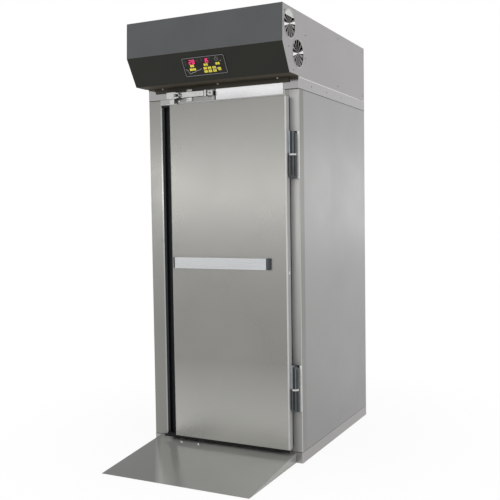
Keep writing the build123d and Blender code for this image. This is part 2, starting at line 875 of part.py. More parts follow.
# Striker on the door's top edge: foot, stem, block, and the slotted nose with the roller's pin
block_right = roller_x - fork_out - 2 * fork_gap
block_left = block_right - striker_block_w
nose_right = roller_x + fork_r
slot_h = fork_t + 2 * fork_gap
with BuildPart() as striker_bracket:
    with BuildSketch(Plane.XY.offset(closer_z - striker_block_h / 2)):
        with Locations((block_left + striker_block_w / 2, out(roller_d))):
            Rectangle(striker_block_w, striker_block_t)
    extrude(amount=striker_block_h)
    chamfer(striker_bracket.faces().sort_by(Axis.Y)[0].edges(), striker_plate_t / 2)
    foot_w = striker_block_w * 1.6
    with BuildSketch(Plane.XY.offset(leaf_top)):
        with Locations((block_left + foot_w / 2, out(leaf_back + leaf_t / 2))):
            Rectangle(foot_w, leaf_t * 0.7)
    extrude(amount=striker_plate_t)
    with BuildSketch(Plane.XY.offset(leaf_top)):
        with Locations((block_left + striker_block_w / 2, out(roller_d - striker_block_t / 2 + striker_plate_t / 2))):
            Rectangle(striker_block_w * 0.6, striker_plate_t)
    extrude(amount=closer_z - leaf_top)
    with BuildSketch(Plane.XZ.offset(-out(roller_d - roller_r))):
        Polygon(
            (block_right, closer_z + striker_block_h / 2),
            (block_right, closer_z - striker_block_h / 2),
            (nose_right, closer_z - striker_nose_h / 2),
            (nose_right, closer_z + striker_nose_h / 2),
            align=None,
        )
    extrude(amount=2 * roller_r)
    with BuildSketch(Plane.XZ.offset(-out(0))):
        with Locations((block_right + fork_gap, closer_z)):
            Rectangle(nose_right - block_right, slot_h, align=(Align.MIN, Align.CENTER))
    extrude(amount=closer_body_t * 2, mode=Mode.SUBTRACT)
    with BuildSketch(Plane.XY.offset(closer_z - slot_h / 2)):
        with Locations((roller_x, out(roller_d))):
            Circle(roller_pin_r)
    extrude(amount=slot_h)
save(striker_bracket, "striker_bracket")

with BuildPart() as striker_roller:
    with BuildSketch(Plane.XY.offset(closer_z - roller_h / 2)):
        with Locations((roller_x, out(roller_d))):
            Circle(roller_r)
            Circle(roller_pin_r + shaft_clear, mode=Mode.SUBTRACT)
    extrude(amount=roller_h)
save(striker_roller, "striker_roller")

# Control panel: a thin bezel with pockets for the windows and the keys

facet_turn = atan2(foot[1] - crease[1], foot[0] - crease[0])
facet = Plane(
    origin=(0, crease[0], crease[1]),
    x_dir=(1, 0, 0),
    z_dir=(0, sin(facet_turn), -cos(facet_turn)),
)
windows = ((-73, 59, 46, 31), (20, 60, 24, 30), (82, 54, 22, 33))
keys = {
    "key_temperature_minus": (-84, 82, pair_key),
    "key_temperature_plus": (-71, 82, pair_key),
    "key_phase_back": (-88.5, 102.5, phase_key),
    "key_phase_next": (-68.5, 102.5, phase_key),
    "key_humidity_minus": (3, 82.5, pair_key),
    "key_humidity_plus": (16.5, 82.5, pair_key),
    "key_time_minus": (77, 82.5, pair_key),
    "key_time_plus": (90.5, 82.5, pair_key),
    "key_start_stop": (88.5, 113, start_key),
}
for row, down in enumerate((103, 121)):
    for column, x in enumerate((0.5, 28, 57)):
        keys[f"key_program_{3 * row + column + 1}"] = (x, down, block_key)

with BuildPart() as control_bezel:
    with BuildSketch(facet):
        with Locations((0, -bezel_down)):
            RectangleRounded(bezel_w, bezel_h, bezel_r)
    extrude(amount=bezel_t)
    with BuildSketch(facet.offset(bezel_t)):
        with Locations((0, -bezel_down)):
            RectangleRounded(bezel_w, bezel_h, bezel_r)
            inner_r = bezel_r - bezel_rim_w
            RectangleRounded(bezel_w - 2 * bezel_rim_w, bezel_h - 2 * bezel_rim_w, inner_r, mode=Mode.SUBTRACT)
    extrude(amount=bezel_rim_h)
    with BuildSketch(facet.offset(bezel_t)):
        for x, down, width, height in windows:
            with Locations((x, -down)):
                Rectangle(width, height)
        for x, down, (width, height) in keys.values():
            with Locations((x, -down)):
                Rectangle(width + 2 * key_clear, height + 2 * key_clear)
    extrude(amount=-(bezel_t - pocket_floor), mode=Mode.SUBTRACT)
save(control_bezel, "control_bezel")

with BuildPart() as displays:
    with BuildSketch(facet.offset(pocket_floor)):
        for x, down, width, height in windows:
            with Locations((x, -down)):
                Rectangle(width - key_clear, height - key_clear)
    extrude(amount=bezel_t - pocket_floor)
save(displays, "displays")

for name, (x, down, (width, height)) in keys.items():
    with BuildPart() as key:
        with BuildSketch(facet.offset(pocket_floor + key_travel + key_stop)):
            with Locations((x, -down)):
                Rectangle(width, height)
        extrude(amount=bezel_t + key_proud - pocket_floor - key_travel - key_stop)
        chamfer(key.faces().sort_by(Axis.Y)[0].edges(), key_edge_r / 2)
    save(key, name)

# Air treatment behind the perforated duct panel

duct_y = wall_back - duct_d
inlet_z = head_z - inlet_drop
evaporator_z = inlet_z - evaporator_drop
heater_z = evaporator_z - heater_drop
duct_face = Plane(origin=(0, duct_y, inlet_z), x_dir=(1, 0, 0), z_dir=(0, -1, 0))
with BuildPart() as duct_panel:
    with BuildSketch(Plane.XZ.offset(-duct_y)):
        with Locations((0, floor_z + wall_h / 2)):
            Rectangle(cab_w - 2 * panel_t, wall_h)
        with Locations((0, inlet_z)):
            RegularPolygon(inlet_r, vent_facets, mode=Mode.SUBTRACT)
        for side in (-1, 1):
            with Locations((side * slot_x, slot_z + (slot_rows - 1) * slot_pitch / 2)):
                with GridLocations(slot_l, slot_pitch, 1, slot_rows):
                    Rectangle(slot_l, slot_w, mode=Mode.SUBTRACT)
    extrude(amount=-duct_plate_t)
    with BuildSketch(duct_face):
        guard(inlet_r + vent_rim, inlet_hub_r, vent_rim, vent_spokes // 2)
    extrude(amount=duct_plate_t)
    for start, length, radius in motor_steps:
        with BuildSketch(duct_face.offset(-start)):
            RegularPolygon(radius, motor_facets)
        extrude(amount=-length)
    with BuildSketch(duct_face.offset(-motor_back)):
        Circle(shaft_r)
    extrude(amount=-shaft_l)
save(duct_panel, "duct_panel")

rotor("circulation_fan", duct_face, inlet_r - 2 * rotor_gap, motor_back + rotor_gap)

finned_coil(
    "evaporator",
    Plane(origin=(-evaporator_w / 2, wall_back - coil_t, evaporator_z), x_dir=(0, 1, 0), z_dir=(1, 0, 0)),
    evaporator_w, coil_t, evaporator_h, 9, coil_t / 2,
)
# Heater: round rods between two end brackets on the rear wall
with BuildPart() as heater_element:
    heater_y = wall_back - coil_t
    for side in (-1, 1):
        with BuildSketch(Plane.YZ.offset(side * heater_w / 2)):
            with Locations(((heater_y + wall_back) / 2 - heater_rod_r, heater_z)):
                Rectangle(coil_t + 2 * heater_rod_r, heater_rods * heater_pitch)
        extrude(amount=side * coil_fin_t)
    with BuildSketch(Plane.YZ.offset(-heater_w / 2)):
        with Locations((heater_y, heater_z)):
            with GridLocations(heater_pitch, heater_pitch, 1, heater_rods):
                RegularPolygon(heater_rod_r, pipe_facets)
    extrude(amount=heater_w)
save(heater_element, "heater_element")

with BuildPart() as steam_pipe:
    steam_y = wall_back - 3 * steam_r
    with BuildSketch(Plane(origin=(steam_x, steam_y, steam_low))):
        RegularPolygon(steam_r, pipe_facets)
    extrude(amount=steam_high - steam_low)
    for z in (steam_low + 3 * steam_r, steam_high - 3 * steam_r):
        with BuildSketch(Plane.XY.offset(z)):
            with Locations((steam_x, (steam_y + wall_back) / 2)):
                Rectangle(2 * steam_r, wall_back - steam_y)
        extrude(amount=steam_r)
save(steam_pipe, "steam_pipe")
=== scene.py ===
"""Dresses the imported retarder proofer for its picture.

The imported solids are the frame. This script gives each of them its finish, adds the printed,
screwed and trimmed details that the solids leave out, and sets the studio and the camera.
Lengths are in metres, +X is right seen from the front, +Y is towards the rear and +Z is up.
"""

import logging
import math
from collections.abc import Callable, Sequence
from dataclasses import dataclass
from enum import Enum
from functools import cache

import bpy
from mathutils import Matrix, Vector

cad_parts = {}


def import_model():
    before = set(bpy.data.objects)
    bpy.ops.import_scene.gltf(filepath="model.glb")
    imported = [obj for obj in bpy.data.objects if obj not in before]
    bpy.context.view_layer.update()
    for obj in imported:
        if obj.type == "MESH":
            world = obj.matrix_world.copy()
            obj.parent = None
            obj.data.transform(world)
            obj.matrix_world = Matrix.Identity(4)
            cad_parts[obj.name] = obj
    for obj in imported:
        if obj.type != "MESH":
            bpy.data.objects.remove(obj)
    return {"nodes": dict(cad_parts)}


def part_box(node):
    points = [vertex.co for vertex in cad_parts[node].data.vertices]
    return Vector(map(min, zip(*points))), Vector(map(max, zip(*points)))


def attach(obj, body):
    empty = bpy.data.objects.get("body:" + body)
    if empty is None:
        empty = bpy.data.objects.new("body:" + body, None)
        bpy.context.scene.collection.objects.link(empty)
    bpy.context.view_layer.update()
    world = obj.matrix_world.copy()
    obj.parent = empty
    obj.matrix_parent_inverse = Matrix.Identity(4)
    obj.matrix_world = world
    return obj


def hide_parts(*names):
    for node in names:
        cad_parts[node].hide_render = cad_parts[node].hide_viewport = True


LOG = logging.getLogger("proofer")

Colour = tuple[float, float, float]
Place = tuple[float, float, float]
Spot = tuple[float, float]
Piece = bpy.types.Object
Socket = bpy.types.NodeSocket

CABINET = "cabinet"
DOOR = "door"
SMOOTH_ANGLE = math.radians(32)


# Finishes


class Grain(Enum):
    """The way a finish's fine marks run, as the stretch of its pattern along each axis."""

    UPRIGHT = (60.0, 60.0, 1.4)
    ACROSS = (1.4, 60.0, 60.0)
    INWARD = (60.0, 1.4, 60.0)
    EVEN = (1.0, 1.0, 1.0)


class Graph:
    """A node tree with short calls to add and join nodes."""

    blur = 0.0006
    plug_blur = 0.0008
    facet_step = 0.031

    def __init__(self, owner: bpy.types.Material | bpy.types.World) -> None:
        """Start an empty node tree in a material or a world."""
        self.owner = owner
        owner.use_nodes = True
        self.tree = owner.node_tree
        self.tree.nodes.clear()
        kind = "World" if isinstance(owner, bpy.types.World) else "Material"
        self.output = self.add(f"ShaderNodeOutput{kind}")

    def add(self, kind: str, **settings: object) -> bpy.types.Node:
        """Add a node.

        Args:
            kind: The node's Blender type.
            settings: Attributes of the node to set.

        Returns:
            The new node.
        """
        node = self.tree.nodes.new(kind)
        for key, value in settings.items():
            setattr(node, key, value)
        return node

    def join(self, source: Socket, target: Socket) -> None:
        """Link one socket to another."""
        self.tree.links.new(source, target)

    def sum(self, operation: str, first: Socket, second: Socket | float) -> Socket:
        """Give the result of a sum on two values."""
        node = self.add("ShaderNodeMath", operation=operation)
        self.join(first, node.inputs[0])
        if isinstance(second, float):
            node.inputs[1].default_value = second
        else:
            self.join(second, node.inputs[1])
        return node.outputs[0]

    def times(self, first: Socket, second: Socket | float) -> Socket:
        """Multiply two values."""
        return self.sum("MULTIPLY", first, second)

    def most(self, *values: Socket) -> Socket:
        """Give the greatest of some values."""
        greatest = values[0]
        for value in values[1:]:
            greatest = self.sum("MAXIMUM", greatest, value)
        return greatest

    def place(self, output: str = "Object") -> Socket:
        """Give the point's object coordinates, or its object normal."""
        return self.add("ShaderNodeTexCoord").outputs[output]

    def apart(self, vector: Socket) -> Sequence[Socket]:
        """Take a vector apart into its three values."""
        parts = self.add("ShaderNodeSeparateXYZ")
        self.join(vector, parts.inputs[0])
        return parts.outputs

    def on(self, operation: str, vector: Socket, second: Place | None = None) -> bpy.types.Node:
        """Work on a vector, with a fixed second vector where the operation takes one."""
        node = self.add("ShaderNodeVectorMath", operation=operation)
        self.join(vector, node.inputs[0])
        if second:
            node.inputs[1].default_value = second
        return node

    def along(self, axis: str) -> Socket:
        """Give the point's place along one of the object's axes."""
        return self.apart(self.place())[axis]

    def towards(self, way: Place) -> Socket:
        """Give how far the point lies along a direction from the object's origin."""
        return self.on("DOT_PRODUCT", self.place(), way).outputs["Value"]

    def noise(self, scale: float, detail: float = 4.0, grain: Grain = Grain.EVEN) -> Socket:
        """Give a noise value.

        Args:
            scale: The noise's own scale.
            detail: The number of finer layers.
            grain: The way the pattern is stretched.

        Returns:
            The socket with the noise, about 0.5 on average.
        """
        mapping = self.add("ShaderNodeMapping")
        mapping.inputs["Scale"].default_value = grain.value
        self.join(self.place(), mapping.inputs["Vector"])
        noise = self.add("ShaderNodeTexNoise")
        noise.inputs["Scale"].default_value = scale
        noise.inputs["Detail"].default_value = detail
        self.join(mapping.outputs["Vector"], noise.inputs["Vector"])
        return noise.outputs["Fac"]

    def spread(
        self, value: Socket, low: float, high: float, start: float = 0.3, end: float = 0.7
    ) -> Socket:
        """Map a value from start and end to low and high, clamped."""
        span = self.add("ShaderNodeMapRange")
        ends = {"From Min": start, "From Max": end, "To Min": low, "To Max": high}
        for key, number in ends.items():
            span.inputs[key].default_value = number
        self.join(value, span.inputs["Value"])
        return span.outputs["Result"]

    def fold(self, share: float) -> Socket:
        """Give 1 on flat faces and up to share on folds, fillets and chamfers, a painted highlight
        where share is above 1.
        """
        size = self.on("ABSOLUTE", self.place("Normal"))
        widest = self.most(*self.apart(size.outputs[0]))
        return self.spread(widest, share, 1.0, 0.75, 0.985)

    def dots(self, places: Sequence[Spot], radius: float, share: float) -> Socket:
        """Give 1, and share on round plugs set flush in an upright side.

        Args:
            places: Each plug's y and z.
            radius: The plugs' radius.
            share: The tone on the plugs.

        Returns:
            The socket with the tone.
        """
        nearest = None
        for spot in places:
            flat = self.on("MULTIPLY", self.place(), (0, 1, 1)).outputs[0]
            reach = self.on("DISTANCE", flat, (0, *spot)).outputs["Value"]
            nearest = self.sum("MINIMUM", nearest, reach) if nearest else reach
        return self.spread(nearest, share, 1.0, radius - self.plug_blur, radius + self.plug_blur)

    def facet_highlights(self, low: float, high: float) -> Socket:
        """Give each flat face of a ribbed shape a tone of its own, by its normal, as a painted
        highlight.
        """
        step = self.on("SNAP", self.place("Normal"), (self.facet_step,) * 3)
        chance = self.add("ShaderNodeTexWhiteNoise", noise_dimensions="3D")
        self.join(step.outputs[0], chance.inputs["Vector"])
        return self.spread(chance.outputs["Value"], low, high, 0.0, 1.0)

    def within(self, axis: str, start: float, end: float) -> Socket:
        """Give 1 between two places along an axis, and 0 elsewhere."""
        place = self.along(axis)
        after = self.spread(place, 0.0, 1.0, start - self.blur, start + self.blur)
        before = self.spread(place, 1.0, 0.0, end - self.blur, end + self.blur)
        return self.times(after, before)

    def toned(self, colour: Colour, tone: Socket) -> Socket:
        """Give a colour made lighter or darker by a tone about 1."""
        scale = self.add("ShaderNodeVectorMath", operation="SCALE")
        scale.inputs[0].default_value = colour
        self.join(tone, scale.inputs["Scale"])
        return scale.outputs[0]

    def tint(self, value: Socket, low: Socket, high: Socket) -> Socket:
        """Blend between two colours by a value from 0 to 1."""
        mix = self.add("ShaderNodeMix", data_type="RGBA")
        self.join(value, mix.inputs["Factor"])
        ends = [socket for socket in mix.inputs if socket.type == "RGBA"]
        for end, colour in zip(ends, (low, high)):
            self.join(colour, end)
        return next(socket for socket in mix.outputs if socket.type == "RGBA")

    def bump(self, height: Socket, strength: float, distance: float) -> Socket:
        """Turn a height into a surface normal."""
        bump = self.add("ShaderNodeBump")
        bump.inputs["Strength"].default_value = strength
        bump.inputs["Distance"].default_value = distance
        self.join(height, bump.inputs["Height"])
        return bump.outputs["Normal"]

    def surface(self, **inputs: Socket | float) -> None:
        """Add the main shader and join it to the output.

        Args:
            inputs: A socket or a plain number for each input, with its name's spaces underlined.
        """
        shader = self.add("ShaderNodeBsdfPrincipled")
        for key, value in inputs.items():
            target = shader.inputs[key.replace("_", " ")]
            if isinstance(value, Socket):
                self.join(value, target)
            else:
                target.default_value = value
        self.join(shader.outputs["BSDF"], self.output.inputs["Surface"])

    def seen(self) -> Socket:
        """Give 1 for rays that see the background: the camera's, and those in metal and glass."""
        path = self.add("ShaderNodeLightPath").outputs
        return self.most(*(path[f"Is {kind} Ray"] for kind in ("Camera", "Glossy", "Transmission")))

    def blend(self, share: Socket, first: bpy.types.Node, second: bpy.types.Node) -> None:
        """Blend two shaders by a share and join them to the output."""
        mix = self.add("ShaderNodeMixShader")
        for source, target in zip((share, first.outputs[0], second.outputs[0]), mix.inputs):
            self.join(source, target)
        self.join(mix.outputs[0], self.output.inputs["Surface"])


@dataclass(frozen=True)
class Finish:
    """A material with procedural wear, in some finishes painted highlights, reflection and shade,
    and the record's material slot that it stands for.
    """

    name: str
    colour: Colour
    slot: str = "stainless"

    def build(self) -> bpy.types.Material:
        """Build the material."""
        graph = Graph(bpy.data.materials.new(self.name))
        self.paint(graph)
        return graph.owner

    def paint(self, graph: Graph) -> None:
        """Fill the material's node tree."""
        raise NotImplementedError


@dataclass(frozen=True)
class SatinSteel(Finish):
    """Brushed stainless sheet: fine lines one way, cloudy handling marks and painted highlights on
    folds.

    Attributes:
        fade: The heights between which the tone rises from a share to 1, a painted reflection and
            shade by height.
        shade: A direction, and the places along it between which the tone rises from a share to 1,
            a painted shade.
        joints: The lowest and highest z of each dark level joint.
        plugs: The y and z of each round plug set flush in a side.
    """

    roughness: float = 0.34
    grain: Grain = Grain.UPRIGHT
    lines: float = 0.05
    clouds: float = 0.04
    metal: float = 1.0
    folds: float = 1.3
    fade: tuple[float, float, float] | None = None
    gloss: float = 0.5
    uneven: float = 0.065
    shade: tuple[Place, float, float, float] | None = None
    joints: tuple[Spot, ...] = ()
    joint_tone: float = 0.3
    plugs: tuple[Spot, ...] = ()
    plug_r: float = 0.007
    plug_tone: float = 0.55

    def paint(self, graph: Graph) -> None:
        """Fill the material's node tree."""
        lines = graph.noise(9.0, 5.0, self.grain)
        clouds = graph.noise(2.6, 3.0)
        marks = graph.sum("ADD", graph.times(lines, 0.45), graph.spread(clouds, 0.0, 0.55))
        tone = graph.spread(marks, 1 - self.clouds, 1 + self.clouds, 0.1, 0.9)
        # Folds, fillets and chamfers get a painted highlight.
        tone = graph.times(tone, graph.fold(self.folds))
        # Painted reflection and shade: the tone changes with height.
        if self.fade:
            low, high, share = self.fade
            tone = graph.times(tone, graph.spread(graph.along("Z"), share, 1.0, low, high))
        # Painted shade along a direction.
        if self.shade:
            way, start, end, share = self.shade
            tone = graph.times(tone, graph.spread(graph.towards(way), share, 1.0, start, end))
        for low, high in self.joints:
            joint = graph.within("Z", low, high)
            tone = graph.times(tone, graph.spread(joint, 1.0, self.joint_tone, 0.0, 1.0))
        if self.plugs:
            tone = graph.times(tone, graph.dots(self.plugs, self.plug_r, self.plug_tone))
        smooth, rough = self.roughness - self.uneven, self.roughness + self.uneven
        graph.surface(
            Base_Color=graph.toned(self.colour, tone), Metallic=self.metal,
            Specular_IOR_Level=self.gloss, Roughness=graph.spread(marks, smooth, rough, 0.2, 0.8),
            Normal=graph.bump(lines, self.lines, 0.0004),
        )


@dataclass(frozen=True)
class Lacquer(Finish):
    """Sprayed lacquer or printed film: orange peel, uneven gloss, a second tone below a crease,
    which on the fascia is painted shade.
    """

    slot: str = "fascia_paint"
    roughness: float = 0.35
    peel: float = 0.06
    below: Colour | None = None
    crease_z: float = 0.0
    gloss: float = 0.22

    def paint(self, graph: Graph) -> None:
        """Fill the material's node tree."""
        clouds = graph.noise(4.0)
        tone = graph.spread(clouds, 0.93, 1.07)
        paint = graph.toned(self.colour, tone)
        # Below the crease the second tone is used; on the fascia it is painted shade.
        if self.below:
            low, high = self.crease_z - 0.001, self.crease_z + 0.001
            side = graph.spread(graph.along("Z"), 0.0, 1.0, low, high)
            paint = graph.tint(side, graph.toned(self.below, tone), paint)
        graph.surface(
            Base_Color=paint, Specular_IOR_Level=self.gloss,
            Roughness=graph.spread(clouds, self.roughness - 0.05, self.roughness + 0.06),
            Normal=graph.bump(graph.noise(420.0, 2.0), self.peel, 0.0006),
        )


@dataclass(frozen=True)
class Moulded(Finish):
    """Moulded plastic or rubber: a fine grain, painted highlights that differ from rib to rib, and
    a side of another tone, painted light on the grip.
    """

    roughness: float = 0.5
    grain: float = 0.15
    scale: float = 1500.0
    rib_highlights: float = 0.0
    side: Colour | None = None
    side_x: Spot = (-1.0, 0.0)

    def paint(self, graph: Graph) -> None:
        """Fill the material's node tree."""
        clouds = graph.noise(22.0)
        tone = graph.spread(clouds, 0.86, 1.14)
        highlighted = graph.times(tone, graph.facet_highlights(0.7, self.rib_highlights)) if self.rib_highlights else tone
        paint = graph.toned(self.colour, highlighted)
        # A side of another tone; on the grip it is painted light.
        if self.side:
            side = graph.toned(self.side, tone)
            paint = graph.tint(graph.within("X", *self.side_x), paint, side)
        graph.surface(
            Base_Color=paint, Specular_IOR_Level=0.22,
            Roughness=graph.spread(clouds, self.roughness - 0.07, self.roughness + 0.07),
            Normal=graph.bump(graph.noise(self.scale, 2.0), self.grain, 0.0003),
        )


@dataclass(frozen=True)
class Plated(Finish):
    """Bright plated, drawn or cast metal with small dull patches and painted highlights on folds.
    """

    slot: str = "closer_steel"
    roughness: float = 0.2
    marks: float = 0.04
    folds: float = 1.15
    uneven: float = 0.075

    def paint(self, graph: Graph) -> None:
        """Fill the material's node tree."""
        patches = graph.noise(60.0, 6.0)
        # Folds get a painted highlight.
        tone = graph.times(graph.spread(patches, 0.93, 1.05), graph.fold(self.folds))
        smooth, rough = self.roughness - self.uneven, self.roughness + self.uneven
        graph.surface(
            Base_Color=graph.toned(self.colour, tone), Metallic=1.0,
            Roughness=graph.spread(patches, smooth, rough),
            Normal=graph.bump(patches, self.marks, 0.0003),
        )


@dataclass(frozen=True)
class Lit(Finish):
    """A lit lamp or segment behind the panel's film."""

    slot: str = "display_plastic"
    strength: float = 1.0
    unlit: float = 0.2

    def paint(self, graph: Graph) -> None:
        """Fill the material's node tree."""
        glow = graph.spread(graph.noise(300.0, 2.0), 0.88, 1.0)
        dim = tuple(channel * self.unlit for channel in self.colour)
        graph.surface(
            Base_Color=graph.toned(dim, glow), Roughness=0.35,
            Emission_Color=graph.toned(self.colour, glow), Emission_Strength=self.strength,
        )


def ink(name: str, colour: Colour) -> Lacquer:
    """Give an ink that is printed on the panel's film."""
    return Lacquer(name, colour, "bezel_plastic", 0.4, 0.02)


@cache
def made(finish: Finish) -> bpy.types.Material:
    """Give a finish's material, built once."""
    return finish.build()


PANEL_JOINTS = ((2.0800, 2.0850), (0.0590, 0.0632))
CAM_LOCKS = ((-0.387, 2.115), (-0.1435, 2.115), (0.107, 2.115))
# The door's foot is painted brighter, a painted reflection of the floor.
DOOR_STEEL = SatinSteel(
    "door_steel", (0.246, 0.244, 0.230), roughness=0.30, fade=(0.16, 0.56, 1.7), uneven=0.035
)
LINER_STEEL = SatinSteel("liner_steel", (0.33, 0.33, 0.32))
# The walls are painted darker towards the bottom, a painted shade.
PANEL_STEEL = SatinSteel(
    "panel_steel", (0.335, 0.333, 0.331), "cabinet_steel", 0.36, fade=(0.1, 1.3, 0.76),
    joints=PANEL_JOINTS,
)
FLOOR_STEEL = SatinSteel("floor_steel", (0.325, 0.312, 0.307), "cabinet_steel", 0.36)
CEILING_STEEL = SatinSteel(
    "ceiling_steel", (0.350, 0.343, 0.343), "cabinet_steel", 0.12, lines=0.02, plugs=CAM_LOCKS
)
# The posts' rounded corners get a strong painted highlight.
POST_STEEL = SatinSteel(
    "post_steel", (0.228, 0.226, 0.214), "cabinet_steel", 0.33, folds=2.6, joints=PANEL_JOINTS
)
# Pale, barely metallic sheet: painted light on the post's face where the door shades it, painted
# darker towards the bottom.
POST_FACE_LIGHT = SatinSteel(
    "post_face_light", (0.56, 0.56, 0.55), "cabinet_steel", 0.33, metal=0.1, fade=(0.6, 1.5, 0.66)
)
HOOD_STEEL = SatinSteel("hood_steel", (0.352, 0.342, 0.342), "cabinet_steel", 0.38, Grain.INWARD)
GUARD_STEEL = SatinSteel(
    "guard_steel", (0.175, 0.168, 0.160), "cabinet_steel", 0.3, Grain.EVEN, metal=0.35, folds=1.0
)
GUARD_RING = SatinSteel(
    "guard_ring", (0.40, 0.385, 0.375), "cabinet_steel", 0.3, Grain.EVEN, folds=1.25
)
# Dark brown on the hood's steel tray and its underside: painted shade where the underside faces
# down.
TRAY_SHADE_PAINT = Lacquer("tray_shade_paint", (0.110, 0.098, 0.074), "cabinet_steel", 0.6, gloss=0.02)
# Dark sheet before the ceiling panel's front: a painted shadow cast by the hood.
SHADOW_SHEET_PAINT = Lacquer("shadow_sheet_paint", (0.062, 0.054, 0.040), "fascia_paint", 0.5)
FRAME_STEEL = SatinSteel("frame_steel", (0.33, 0.33, 0.32), "stainless", 0.28, Grain.ACROSS)
# Polished plate with a painted reflection: a very bright base, painted darker towards its foot.
HEADER_STEEL_AND_REFLECTION = SatinSteel(
    "header_steel_and_reflection", (0.84, 0.84, 0.85), "polished_steel", 0.2, Grain.ACROSS, 0.01,
    fade=(2.062, 2.125, 0.70),
)
# The ramp's left part is painted darker: a painted shade of its reflection.
RAMP_STEEL = SatinSteel(
    "ramp_steel", (0.395, 0.402, 0.380), "ramp_steel", 0.2, Grain.ACROSS, 0.02, metal=0.3,
    gloss=0.1, shade=((0.840, 0.543, 0.0), -0.725, -0.685, 0.44),
)
INNER_STEEL = SatinSteel("inner_steel", (0.46, 0.46, 0.45), "stainless", 0.42, Grain.ACROSS)
# The lower facet, below the crease, is painted darker: painted shade on the facet that faces down.
FASCIA_LACQUER_AND_SHADE = Lacquer(
    "fascia_lacquer_and_shade", (0.096, 0.102, 0.104), below=(0.017, 0.018, 0.013), crease_z=2.301
)
COMPRESSOR_ENAMEL = Lacquer("compressor_enamel", (0.012, 0.012, 0.013), "compressor_paint", 0.25)
BEZEL_FILM = Lacquer("bezel_film", (0.016, 0.015, 0.012), "bezel_plastic", 0.25, 0.02)
DISPLAY_WINDOW = Lacquer("display_window", (0.016, 0.008, 0.009), "display_plastic", 0.15, 0.01)
FILM_LINE = ink("film_line", (0.25, 0.255, 0.27))
FILM_CURVE = ink("film_curve", (0.52, 0.52, 0.50))
FILM_ICON = ink("film_icon", (0.20, 0.235, 0.205))
FILM_FAINT = ink("film_faint", (0.10, 0.095, 0.09))
KEY_CAP = Moulded("key_cap", (0.97, 0.84, 0.10), "key_plastic")
KEY_MARK = Moulded("key_mark", (0.10, 0.07, 0.02), "key_plastic", grain=0.05)
LIT_RED = Lit("lit_red", (0.95, 0.035, 0.20), strength=1.3)
LIT_ORANGE = Lit("lit_orange", (0.95, 0.20, 0.10))
LIT_BLUE = Lit("lit_blue", (0.42, 0.50, 0.95))
FAN_PLASTIC = Moulded("fan_plastic", (0.030, 0.027, 0.036), "fan_plastic", 0.42)
FILTER_MAT = Moulded("filter_mat", (0.03, 0.03, 0.032), "fan_plastic", 0.9, 0.9, 260.0)
# Black channel with its left wall, x below -0.356, painted lighter: painted light on the wall that
# the light reaches.
GRIP_PLASTIC_AND_LIGHT = Moulded(
    "grip_plastic", (0.005, 0.005, 0.005), "grip_plastic", side=(0.012, 0.016, 0.021),
    side_x=(-1.0, -0.356),
)
GRIP_CAP = Lacquer(
    "grip_cap", (0.42, 0.42, 0.41), "grip_plastic", 0.4, below=(0.006, 0.006, 0.006),
    crease_z=2.0432,
)
WING_STEEL = Lacquer("wing_steel", (0.44, 0.47, 0.51), "polished_steel", 0.3)
# A pale, barely glossy strip: painted highlight on the door's left fold and painted light on its
# right side face.
EDGE_HIGHLIGHT = Lacquer("edge_highlight", (0.46, 0.46, 0.455), "stainless", 0.3, 0.02)
# A brighter strip: painted highlight on the door's right fold.
BRIGHT_EDGE_HIGHLIGHT = Lacquer("bright_edge_highlight", (0.66, 0.66, 0.65), "stainless", 0.3, 0.02)
# Near-white strip: a painted highlight on the post beside each hinge, where the knuckle's shadow
# falls.
HINGE_HIGHLIGHT_STRIP = Lacquer("hinge_highlight_strip", (0.95, 0.95, 0.95), "polished_steel", 0.3, 0.02)
# The knuckles' ribs get painted highlights that differ from facet to facet.
HINGE_DOOR = Moulded(
    "hinge_door_plastic", (0.024, 0.026, 0.027), "hinge_plastic", 0.42, rib_highlights=9.0,
    side=WING_STEEL.colour, side_x=(0.0, 0.4555),
)
HINGE_POST = Moulded("hinge_post_plastic", (0.020, 0.022, 0.023), "hinge_plastic", 0.42, rib_highlights=7.0)
WASHER_NYLON = Moulded("washer_nylon", (0.82, 0.81, 0.79), "washer_plastic", 0.45)
SEAL_RUBBER = Moulded("seal_rubber", (0.010, 0.010, 0.010), "seal_rubber", 0.7, 0.3, 700.0)
ROLLER_NYLON = Moulded("roller_nylon", (0.03, 0.03, 0.03), "roller_plastic")
PLUG_WHITE = Moulded("plug_white", (0.80, 0.80, 0.78), "washer_plastic", 0.45)
# The rail's folds get a painted highlight.
BUMPER_METAL = SatinSteel(
    "bumper_metal", (0.45, 0.46, 0.47), "bumper_aluminium", 0.3, Grain.ACROSS, 0.0, 0.05,
    folds=1.45, uneven=0.004,
)
BUMPER_END = Moulded(
    "bumper_end", (0.085, 0.092, 0.100), "grip_plastic", 0.45, side=(0.012, 0.016, 0.02)
)
COIL_METAL = Plated("coil_metal", (0.55, 0.56, 0.57), "coil_aluminium", 0.35)
NICKEL = Plated("nickel", (0.52, 0.52, 0.505), marks=0.004, uneven=0.02)
CLOSER_ZINC = Plated("closer_zinc", (0.27, 0.27, 0.26), roughness=0.3, marks=0.004, uneven=0.02)
SCREW_STEEL = Plated("screw_steel", (0.50, 0.50, 0.49), "polished_steel", 0.25)
DULL_SCREW = Plated("dull_screw", (0.22, 0.21, 0.21), "cabinet_steel", 0.4)
# Bright metal for screws, clips and beads, and the painted highlight bar on the fan guards.
BRIGHT_METAL_AND_HIGHLIGHT = Plated("bright_metal_and_highlight", (0.80, 0.80, 0.78), "polished_steel", 0.22)
BAFFLE_STEEL = Plated("baffle_steel", (0.60, 0.62, 0.59), "cabinet_steel", 0.4)

